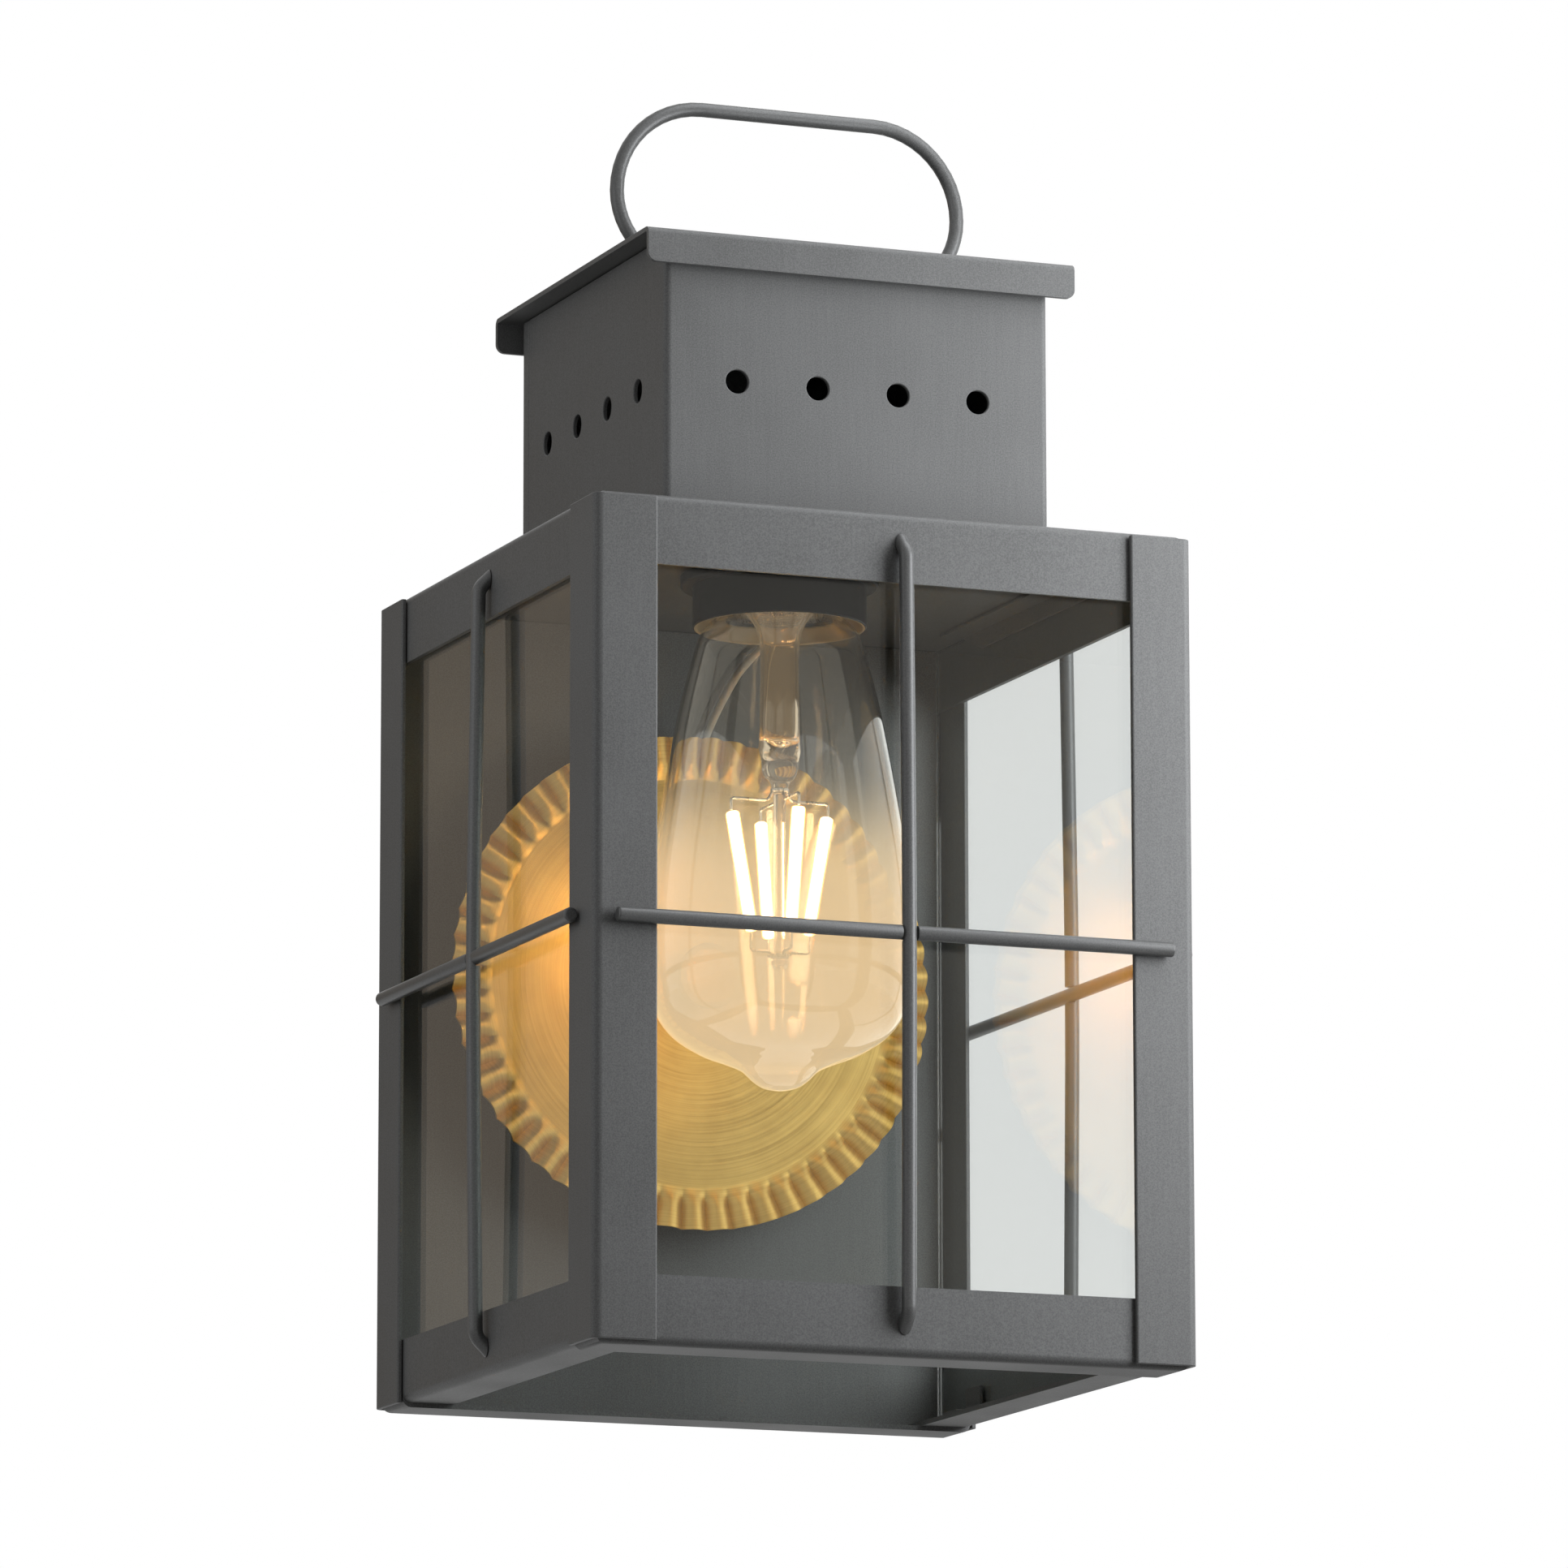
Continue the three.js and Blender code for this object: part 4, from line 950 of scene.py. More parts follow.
@dataclass(frozen=True)
class ClearGlass(Finish):
    """Clear soda-lime glass, polished. Lamp light reaches what is behind it through its shadow."""

    tint: int = 0xFAFCFB
    shadow: int = 0xE9ECEA
    ior: float = 1.5
    glare_tint: int = 0xA89C8F
    glare_glow: int | None = None
    glare_glow_low: float = 0.0
    glare_glow_high: float = 0.0
    glare_glow_strength: float = 0.0

    def build(self, nodes: PaintNodes) -> None:
        """Sets the glass, its clear shadow and, on a lit lamp, painted glare in its lower half: a milky
        colour and a glow on the glass itself.
        """
        nodes.shade({"Base Color": linear(self.tint), "Roughness": 0.0, "IOR": self.ior})
        nodes.shade({"Transmission Weight": 1.0})
        # Painted glare: a milky colour and a glow on the glass, growing towards the bottom, stand in for the
        # lit lamp's glare
        if self.glare_glow is not None:
            height = nodes.add("ShaderNodeSeparateXYZ", {0: nodes.place()}).outputs[2]
            painted_glare = nodes.ramp(height, start=self.glare_glow_high, end=self.glare_glow_low, curve="SMOOTHERSTEP")
            nodes.shade({
                "Base Color": nodes.tinted(painted_glare, self.tint, self.glare_tint),
                "Emission Color": nodes.tinted(painted_glare, 0x000000, self.glare_glow),
                "Emission Strength": self.glare_glow_strength,
            })
        path = nodes.add("ShaderNodeLightPath").outputs
        nodes.clear(nodes.math("MAXIMUM", path["Is Shadow Ray"], path["Is Diffuse Ray"]), self.shadow)


@dataclass(frozen=True)
class SpunBrass(Finish):
    """Spun yellow brass under lacquer: fine circles round the spinning axis, and a sandy pressed rim."""

    light: int = 0xD9B569
    dark: int = 0xBA9751
    roughness: float = 0.34
    ring: float = 0.42 * MM
    drift: float = 0.9
    cloud: float = 9 * MM
    flat: float = 50.9 * MM
    pressed: float = 0.12
    sand: float = 0.35 * MM
    relief: float = 0.03 * MM

    def build(self, nodes: PaintNodes) -> None:
        """Draws the circles from the distance to the axis, with a slow change round it."""
        place = nodes.add("ShaderNodeSeparateXYZ", {0: nodes.place()}).outputs
        across = nodes.xyz(place[0], place[2])
        radius = nodes.add("ShaderNodeVectorMath", {0: across}, operation="LENGTH").outputs["Value"]
        around = nodes.out("ShaderNodeVectorMath", {0: across}, operation="NORMALIZE")
        slow = nodes.out("ShaderNodeVectorMath", {0: around, "Scale": self.drift}, operation="SCALE")
        lift = nodes.xyz(0.0, 0.0, nodes.times(radius, 1 / self.ring))
        where = nodes.out("ShaderNodeVectorMath", {0: slow, 1: lift})
        circles = nodes.out("ShaderNodeTexNoise", {"Vector": where, "Scale": 1.0, "Detail": 3.0})
        clouds = nodes.spread(nodes.grain(self.cloud, detail=3), 0, 0.4)
        on_rim = nodes.ramp(radius, 0.0, 1.0, self.flat - 2 * MM, self.flat + 3 * MM)
        gloss = nodes.spread(circles, self.roughness - 0.05, self.roughness + 0.05)
        lines = nodes.bump(circles, 0.14, self.relief)
        sand = nodes.times(nodes.grain(self.sand), on_rim)
        tone = nodes.plus(nodes.spread(circles, 0, 0.6), clouds)
        nodes.shade({
            "Base Color": nodes.tinted(tone, self.dark, self.light),
            "Roughness": nodes.plus(gloss, nodes.times(on_rim, self.pressed)),
            "Normal": nodes.bump(sand, 0.4, self.relief, Normal=lines),
            "Metallic": 1.0,
        })


@dataclass(frozen=True)
class PlatedMetal(Finish):
    """Drawn or plated metal: even, bright, with a fine drawn grain."""

    light: int = 0xC8C6C0
    dark: int = 0xA9A7A2
    roughness: float = 0.28
    metallic: float = 1.0
    drawn: float = 0.6 * MM

    def build(self, nodes: PaintNodes) -> None:
        """Varies tone and gloss a little along the grain."""
        fine = nodes.grain(self.drawn, stretch=(1, 1, 0.2), detail=3)
        nodes.shade({
            "Base Color": nodes.tinted(nodes.spread(fine, 0, 1), self.dark, self.light),
            "Roughness": nodes.spread(fine, self.roughness - 0.05, self.roughness + 0.06),
            "Normal": nodes.bump(fine, 0.15, 0.02 * MM),
            "Metallic": self.metallic,
        })


@dataclass(frozen=True)
class Moulded(Finish):
    """Moulded plastic, rubber, paint or glaze: one pigment with a faint cloud and its own gloss."""

    light: int = 0x303031
    dark: int = 0x262627
    roughness: float = 0.45
    coat: float = 0.0
    relief: float = 0.1
    gloss: float = 0.5
    cloud: float = 0.8 * MM

    def build(self, nodes: PaintNodes) -> None:
        """Sets the pigment, its faint cloud and the gloss."""
        fine = nodes.grain(self.cloud)
        nodes.shade({
            "Base Color": self.pigment(nodes, nodes.tinted(nodes.spread(fine, 0, 1), self.dark, self.light)),
            "Roughness": nodes.spread(fine, self.roughness - 0.03, self.roughness + 0.04),
            "Normal": nodes.bump(fine, self.relief, 0.04 * MM),
            "Coat Weight": self.coat,
            "Specular IOR Level": self.gloss,
        })

    def pigment(self, nodes: PaintNodes, colour: NodeSocket) -> NodeSocket:
        """Returns the colour of the whole surface."""
        return colour


@dataclass(frozen=True)
class CupPaintWithLitInside(Moulded):
    """Dark paint outside a cup, with cream painted inside it and on the inner half of its rim, seen from the
    cup's upright axis: painted light on the inside and a painted highlight on the rim.
    """

    painted_lit_cream: int = 0xDCCFB6
    axis: Point2 = (0.0, -76.2 * MM)
    bore: float = 20.8 * MM

    def pigment(self, nodes: PaintNodes, colour: NodeSocket) -> NodeSocket:
        """Keeps the paint only where it lies farther from the axis than the bore, and paints cream nearer to
        it as the lit inside and the rim's highlight.

        Args:
            nodes: The material's tree.
            colour: The paint's colour.

        Returns:
            The colour of the whole surface.
        """
        level = nodes.out("ShaderNodeVectorMath", {0: nodes.place(), 1: (1, 1, 0)}, operation="MULTIPLY")
        centre = {0: level, 1: (*self.axis, 0)}
        radius = nodes.add("ShaderNodeVectorMath", centre, operation="DISTANCE").outputs["Value"]
        # Cream nearer the axis than the bore: painted light on the inside and a painted highlight on half of
        # the rim
        return nodes.tinted(nodes.math("LESS_THAN", radius, self.bore), colour, self.painted_lit_cream)


@dataclass(frozen=True)
class GlowingPhosphor(Finish):
    """A lit filament strip: phosphor in clear silicone, far brighter than what is round it."""

    colour: int = 0xFFE4BC
    deep: int = 0xFFD9A4
    unlit: int = 0xF2C35A
    bead: float = 1.2 * MM
    strength: float = 23.0
    glare_edge_strength: float = 0.6

    def build(self, nodes: PaintNodes) -> None:
        """Makes the strip glow, a little unevenly where the chips sit, and fade at its edges, which are
        partly clear silicone and partly painted glare round the strip.
        """
        beads = nodes.spread(nodes.grain(self.bead), 0, 1)
        facing = nodes.add("ShaderNodeLayerWeight", {"Blend": 0.5}).outputs["Facing"]
        nodes.shade({
            "Base Color": linear(self.unlit),
            "Emission Color": nodes.tinted(beads, self.deep, self.colour),
            "Emission Strength": nodes.ramp(
                facing, self.strength, self.glare_edge_strength, end=0.6, curve="SMOOTHERSTEP"
            ),
        })
        # The soft, glowing, fading edge is partly clear silicone and partly painted glare
        nodes.clear(nodes.ramp(facing, start=0.25, end=0.8, curve="SMOOTHSTEP"))


GRAPHITE = PowderCoat("Graphite powder coat on sheet steel", "graphite")
ROD_COAT = PowderCoat("Graphite powder coat on rod", "graphite", 0x484847, 0x646463, 0.38, gloss=0.5)
PANE_GLASS = ClearGlass("Clear float glass", "pane_glass")
# The stem is painted milky and glows faintly all over: painted glare from the lit lamp
STEM_GLASS = ClearGlass(
    "Clear lead glass stem",
    "lamp_glass",
    tint=0xF6EBDA,
    glare_tint=0xEBDFCB,
    glare_glow=0xFFE6C2,
    glare_glow_low=0.2,
    glare_glow_high=0.3,
    glare_glow_strength=0.035,
)
BRASS = SpunBrass("Spun lacquered brass", "brass")
PLAIN_BRASS = PlatedMetal("Drawn brass", "brass", 0xDDB568, 0xC39A4F, 0.3)
NICKEL = PlatedMetal("Nickel plated brass", "nickel")
ZINC = PlatedMetal("Bright zinc plate", "zinc", 0xB5B8B8, 0x94999A, 0.36)
GREEN_ZINC = PlatedMetal("Green dyed zinc plate", "ground_green", 0x3E8A50, 0x2A6A3B, 0.35, 0.7)
# Black outside; its cream inside and inner rim are painted light
BLACK_PAINT = CupPaintWithLitInside("Black satin paint", "black_metal", 0x242425, 0x1C1C1D, 0.5, relief=0.02, gloss=0.2)
PORCELAIN = Moulded("Cream glazed porcelain", "porcelain", 0xF2E8D2, 0xE6D9BF, 0.22, 0.4, 0.03)
CAP_GLASS = Moulded("Black cap glass", "cap_insulator", 0x1B1B1D, 0x121214, 0.12)
RUBBER = Moulded("Black rubber", "rubber", 0x242424, 0x181818, 0.75, relief=0.3)
BLACK_WIRE = Moulded("Black wire insulation", "lead_black", 0x262626, 0x1C1C1C, 0.5)
WHITE_WIRE = Moulded("White wire insulation", "lead_white", 0xE6E2D8, 0xD8D3C6, 0.5)
ORANGE_PLASTIC = Moulded("Orange moulded plastic", "connector", 0xD07A2C, 0xC06D22, 0.4)
PHOSPHOR = GlowingPhosphor("Lit phosphor strip", "filament")


# Camera, light and stage


def outward(azimuth: float, elevation: float) -> Vector:
    """Returns a direction from the lantern by its angles in degrees, of which 0 is straight in front."""
    a, e = math.radians(azimuth), math.radians(elevation)
    return Vector((math.sin(a) * math.cos(e), -math.cos(a) * math.cos(e), math.sin(e)))


@dataclass(frozen=True)
class Studio:
    """The photograph's camera, soft light and a pale floor well below the wall light, in millimetres."""

    target: tuple[float, float, float] = (4.93, -67.52, 42.14)
    azimuth: float = -21.676
    elevation: float = -10.462
    roll: float = -0.0776
    distance: float = 2384.2
    lens: float = 224.6
    aim: tuple[float, float, float] = (0.0, -76.0, 30.0)
    ambient: float = 0.12
    light_colour: int = 0xF8FBFF
    card_half: float = 420.0
    floor_height: float = -620.0
    floor_half: float = 4500.0
    floor_seen: int = 0xF4F4F2
    floor_bounce: int = 0x6E6E6C
    floor_lift: float = 0.55

    # Each soft light's azimuth, elevation and distance, its sizes and its power in watts
    lights = {
        "Key from the right": (45, 9, 375, (220, 320), 1.85),
        "Light from above": (40, 62, 375, (220, 320), 0.75),
        "Fill from the left": (-80, 10, 500, (300, 400), 0.42),
        "Fill from behind": (150, 20, 1900, (900, 900), 9),
    }
    # Each card's azimuth, elevation and distance, and the colour of the reflection that it paints in the
    # panes
    cards = {"reflection_card_left": (-158, 10, 1200, 0x8E8478), "reflection_card_right": (22, 11, 1300, 0xB0ACA5)}

    def camera(self) -> None:
        """Places the camera that sees the object as the photograph does."""
        back = outward(self.azimuth, self.elevation)
        a, r = math.radians(self.azimuth), math.radians(self.roll)
        right = Vector((math.cos(a), math.sin(a), 0))
        up = back.cross(right)
        turned_right = right * math.cos(r) + up * math.sin(r)
        turned_up = up * math.cos(r) - right * math.sin(r)
        data = bpy.data.cameras.new("Camera")
        data.lens = self.lens
        data.sensor_width = 36
        data.clip_end = 50
        camera = linked("Camera", data)
        place = (Vector(self.target) + back * self.distance) * MM
        turn = Matrix((turned_right, turned_up, back)).transposed().to_4x4()
        camera.matrix_world = Matrix.Translation(place) @ turn
        bpy.context.scene.camera = camera

    def world(self) -> None:
        """Makes a white surround for the camera, mirrors and glass, and a dim one for everything else."""
        world = bpy.data.worlds.new("Studio")
        world.use_nodes = True
        nodes = Nodes(world.node_tree)
        strength = nodes.ramp(nodes.shown_rays(), self.ambient, 1.0)
        nodes.feed(nodes.tree.nodes["Background"], {"Color": WHITE, "Strength": strength})
        bpy.context.scene.world = world

    def light(self, name: str, place: Vector, size: Sequence[float], power: float) -> None:
        """Adds a soft rectangular light that points at the lantern.

        Args:
            name: Its name.
            place: Where it stands.
            size: Its width and height.
            power: Its power in watts.
        """
        data = bpy.data.lights.new(name, "AREA")
        data.shape = "RECTANGLE"
        data.size, data.size_y = mm(*size)
        data.energy = power
        data.color = linear(self.light_colour)[:3]
        light = linked(name, data)
        light.location = place * MM
        light.rotation_euler = (Vector(self.aim) - place).to_track_quat("-Z", "Y").to_euler()
        light.visible_camera = False
        light.visible_transmission = False

    def square(self, name: str, centre: Vector, across: Vector, up: Vector) -> tuple[Object, PaintNodes]:
        """Adds a square sheet to the stage.

        Args:
            name: Its name.
            centre: Its middle.
            across: From there to the middle of one edge.
            up: From there to the middle of the next.

        Returns:
            The sheet, and the tree of its material.
        """
        shape = bmesh.new()
        corners = [centre + across * u + up * v for u, v in rectangle(-1, -1, 1, 1)]
        shape.faces.new([shape.verts.new(corner * MM) for corner in corners])
        sheet = as_object(name, shape)
        material, nodes = new_material(name)
        sheet.data.materials.append(material)
        return sheet, nodes

    def card(self, name: str, centre: Vector, colour: int) -> None:
        """Stands a glowing card where a pane mirrors it, to paint a reflection there. Neither the camera nor
        the coat's shading sees it.

        Args:
            name: Its name.
            centre: Its middle.
            colour: Its glow, the colour of the painted reflection.
        """
        facing = (Vector(self.aim) - centre).normalized()
        across = facing.cross(Vector((0, 0, 1))).normalized()
        half = self.card_half
        card, nodes = self.square(name, centre, across * half, across.cross(facing) * half)
        # The card glows and is seen only in reflections: a painted reflection
        nodes.show(nodes.out("ShaderNodeEmission", {"Color": linear(colour), "Strength": 1.0}))
        for ray in ("camera", "diffuse", "shadow"):
            setattr(card, f"visible_{ray}", False)

    def floor(self) -> None:
        """Lays a floor that looks pale from above and clear from below, and throws little light back."""
        middle, half = Vector((0, 0, self.floor_height)), self.floor_half
        floor, nodes = self.square("Floor", middle, Vector((half, 0, 0)), Vector((0, half, 0)))
        floor.active_material.name = "Pale floor"
        bounced = nodes.add("ShaderNodeLightPath").outputs["Is Diffuse Ray"]
        nodes.shade({
            "Base Color": nodes.tinted(bounced, self.floor_seen, self.floor_bounce),
            "Roughness": 0.8,
            "Emission Color": WHITE,
            "Emission Strength": nodes.times(nodes.shown_rays(), self.floor_lift),
        })
        nodes.clear(nodes.add("ShaderNodeNewGeometry").outputs["Backfacing"])

    def build(self) -> None:
        """Sets the camera, the light and the stage."""
        bpy.context.scene.view_settings.view_transform = "Standard"
        self.camera()
        self.world()
        for name, (azimuth, elevation, distance, size, power) in self.lights.items():
            self.light(name, Vector(self.aim) + outward(azimuth, elevation) * distance, size, power)
        for name, (azimuth, elevation, distance, colour) in self.cards.items():
            self.card(name, Vector(self.aim) + outward(azimuth, elevation) * distance, colour)
        self.floor()


# The lantern's sub-assemblies


@dataclass
class SheetBody:
    """The folded sheet body: posts lapped over a roof tray and a bottom frame, with the back panel."""

    sheet: float = 1.2 * MM
    bend: float = 2.2 * MM
    edge: float = 0.18 * MM
    free_edge: float = 0.55 * MM
    end_flange: float = 16.5 * MM
    side_flange: float = 13.2 * MM
    flange_sink: float = 0.05 * MM
    lamp_hole: float = 17.6 * MM
    grommet_lip: float = 1.5 * MM

    def finish(self, piece: Object, node: str) -> None:
        """Dresses a folded piece in the body's coat."""
        dress(piece, GRAPHITE, node, self.edge, angle=BEND_ANGLE)

    def post(self, node: str) -> None:
        """Builds one corner post from its box in the frame."""
        low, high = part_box(node)
        way_x, way_y = 1 if low.x < 0 else -1, 1 if "front" in node else -1
        corner = (low.x if way_x > 0 else high.x, low.y if way_y > 0 else high.y)
        width, depth = high.x - low.x, high.y - low.y
        s, free, inner = self.sheet, self.free_edge, self.free_edge * 0.4
        points = [(0, 0), (width, 0), (width, s), (s, s), (s, depth), (0, depth)]
        outline = rounded(points, [self.bend, free, inner, self.bend - s, inner, free], steps=10)
        placed = [(corner[0] + way_x * u, corner[1] + way_y * v) for u, v in outline]
        self.finish(prism(f"{node}_folded", placed, Axis.Z, low.z, high.z), node)

    def channel(self, axis: Axis, low: Vector, high: Vector, flat_up: bool, inset: float) -> Object:
        """Makes the solid channel section of a folded tray.

        Args:
            axis: The direction of the channel.
            low: The tray's lowest corner.
            high: Its highest corner.
            flat_up: Whether its flat is above.
            inset: How far the channel lies inside the tray's outside.

        Returns:
            The channel, which sticks out at its open side by the inset.
        """
        across, _, along = axis.value
        flat, open_edge = (high.z - inset, low.z - inset) if flat_up else (low.z + inset, high.z + inset)
        u0, u1 = low[across] + inset, high[across] - inset
        outline = folded_outline(u0, u1, open_edge, flat, self.bend - inset, 10)
        return prism("Channel", outline, axis, low[along] + inset, high[along] - inset)

    def tray(self, name: str, low: Vector, high: Vector, flat_up: bool) -> Object:
        """Makes a shallow tray that is folded down or up on all four sides.

        Args:
            name: The object's name.
            low: Its lowest corner.
            high: Its highest corner.
            flat_up: Whether its flat is above.

        Returns:
            The tray.
        """
        solids = []
        for inset in (0.0, self.sheet):
            solid, other = (self.channel(axis, low, high, flat_up, inset) for axis in (Axis.X, Axis.Y))
            solids.append(combined(solid, Cut.SHARED, other))
        piece = combined(solids[0], Cut.AWAY, solids[1])
        piece.name = name
        return piece

    def bottom_frame(self) -> None:
        """Builds the bottom frame: the side flanges lie on the ends of the front and rear ones."""
        low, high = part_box("bottom_frame")
        pane_low, pane_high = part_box("left_pane")
        s = self.sheet
        around, beside = Vector((s, s, s)), Vector((s, 0, s))
        frame = self.tray("bottom_frame_folded", low, high, flat_up=False)
        near, far = moved(low, {1: low.y + self.end_flange}), moved(high, {1: high.y - self.end_flange})
        combined(frame, Cut.AWAY, block(near - around, far + around))
        raised = moved(low, {2: low.z + s - self.flange_sink})
        sides = self.tray("Sides", raised, high, flat_up=False)
        near, far = moved(low, {1: pane_low.y}), moved(high, {1: pane_high.y})
        combined(sides, Cut.SHARED, block(near - beside, far + beside))
        left, right = low.x + self.side_flange, high.x - self.side_flange
        combined(sides, Cut.AWAY, block((left, low.y, low.z - s), (right, high.y, high.z + s)))
        self.finish(merged(combined(frame, Cut.JOINED, sides)), "bottom_frame")

    def roof(self) -> None:
        """Builds the roof with its holes for the lampholder and the leads."""
        roof, grommet = Box.of("roof_tray"), Box.of("lead_grommet")
        holes = (
            (self.lamp_hole, Box.of("lampholder_nipple").axis(roof.high.z)),
            (grommet.radius - self.grommet_lip + GAP, grommet.axis(roof.high.z)),
        )
        tray = self.tray("roof_tray_folded", roof.low, roof.high, flat_up=True)
        reach = 3 * MM
        bits = [
            turned("Bit", rectangle(0, -reach, radius, reach), Axis.Z, place, 96) for radius, place in holes
        ]
        self.finish(combined(tray, Cut.AWAY, *bits), "roof_tray")

    def build(self) -> None:
        """Builds the whole body."""
        for node in ("front_left_post", "front_right_post", "rear_left_post", "rear_right_post"):
            self.post(node)
        self.roof()
        self.bottom_frame()
        dress(copied("back_panel", "sheet"), GRAPHITE, "back_panel", self.edge)


@dataclass
class Glazing:
    """Three panes with ground edges, their clips and their top strips."""

    arris: float = 0.35 * MM
    clip_edge: float = 0.12 * MM

    def build(self) -> None:
        """Builds the panes and what holds them."""
        for node in ("front_pane", "left_pane", "right_pane"):
            low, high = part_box(node)
            outline = rectangle(low.x, low.y, high.x, high.y)
            dress(prism(f"{node}_glass", outline, Axis.Z, low.z, high.z), PANE_GLASS, node, self.arris)
            for part in ("clip_a", "clip_b", "retainer"):
                dress(copied(f"{node}_{part}", "bent"), GRAPHITE, f"{node}_{part}", self.clip_edge)


@dataclass
class Chimney:
    """The vented chimney with its lid and carrying handle."""

    sheet: float = 1.2 * MM
    bend: float = 1.7 * MM
    edge: float = 0.24 * MM
    vent_diameter: float = 5.8 * MM
    vent_pitch: float = 20.7 * MM
    vent_count: int = 4
    vent_height: float = 33.7 * MM
    lid_corner: float = 2.2 * MM
    rod: float = 3.5 * MM
    handle_bend: float = 22.05 * MM
    foot_run: float = 8 * MM
    foot_round: float = 0.5 * MM

    def folded(self, node: str, open_back: bool) -> Object:
        """Makes a sheet folded round three sides of a rectangle.

        Args:
            node: The frame node whose box it fills.
            open_back: Whether its open side is behind, and not in front.

        Returns:
            The folded sheet.
        """
        low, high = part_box(node)
        closed_y, open_y = (low.y, high.y) if open_back else (high.y, low.y)
        s, inner = self.sheet, self.bend - self.sheet
        inside_y = closed_y + (s if open_back else -s)
        outer_side = [(low.x, open_y), (low.x, closed_y), (high.x, closed_y), (high.x, open_y)]
        x0, x1 = low.x + s, high.x - s
        points = [*outer_side, (x1, open_y), (x1, inside_y), (x0, inside_y), (x0, open_y)]
        outline = rounded(points, [0, self.bend, self.bend, 0, 0, inner, inner, 0], steps=8)
        return prism(f"{node}_folded", outline, Axis.Z, low.z, high.z)

    def lid(self) -> None:
        """Builds the lid: a channel whose front and back edges turn down, with rounded lower corners."""
        low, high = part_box("lid")
        s = self.sheet
        outer = folded_outline(low.y, high.y, low.z, high.z, self.bend, 8)
        inner = folded_outline(low.y + s, high.y - s, low.z - s, high.z - s, self.bend - s, 8)
        face = folded_outline(low.x, high.x, high.z + s, low.z, self.lid_corner, 8)
        channel = prism("lid_folded", outer, Axis.X, low.x, high.x)
        combined(channel, Cut.AWAY, prism("Inside", inner, Axis.X, low.x - s, high.x + s))
        combined(channel, Cut.SHARED, prism("Face", face, Axis.Y, low.y - s, high.y + s))
        dress(channel, GRAPHITE, "lid", self.edge, angle=BEND_ANGLE)

    def handle(self, rods: RodTree) -> None:
        """Bends the handle from one rod, with its feet turned in."""
        box, r = Box.of("handle"), self.rod / 2
        x, low, high = box.high.x - r, box.low.z + r, box.high.z - r
        top_bend = self.handle_bend
        low_bend = high - low - top_bend
        foot = x - low_bend - self.foot_run
        corners = [(-foot, low), (-x, low), (-x, high), (x, high), (x, low), (foot, low)]
        places = [Vector((u, box.axis().y, w)) for u, w in corners]
        bends = [0, low_bend, top_bend, top_bend, low_bend, 0]
        piece = rods.bent("handle_rod", places, bends, self.rod, ROD_COAT)
        dress(piece, ROD_COAT, "handle", self.foot_round, 3, BEND_ANGLE)

    def build(self, rods: RodTree, vents: VentTree) -> None:
        """Builds the chimney, the lid and the handle."""
        low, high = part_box("chimney_wrap")
        sizes = {
            "Diameter": self.vent_diameter,
            "Pitch": self.vent_pitch,
            "Count": self.vent_count,
            "Height": low.z + self.vent_height,
            "Middle depth": (low.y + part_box("chimney_back")[1].y) / 2,
            "Front depth": low.y,
            "Reach": 1.2 * (high.x - low.x),
        }
        wrap = self.folded("chimney_wrap", open_back=True)
        vents.grow(wrap.name, sizes, GRAPHITE, wrap)
        dress(wrap, GRAPHITE, "chimney_wrap", self.edge, angle=BEND_ANGLE)
        back = self.folded("chimney_back", open_back=False)
        dress(back, GRAPHITE, "chimney_back", self.edge, angle=BEND_ANGLE)
        self.lid()
        self.handle(rods)


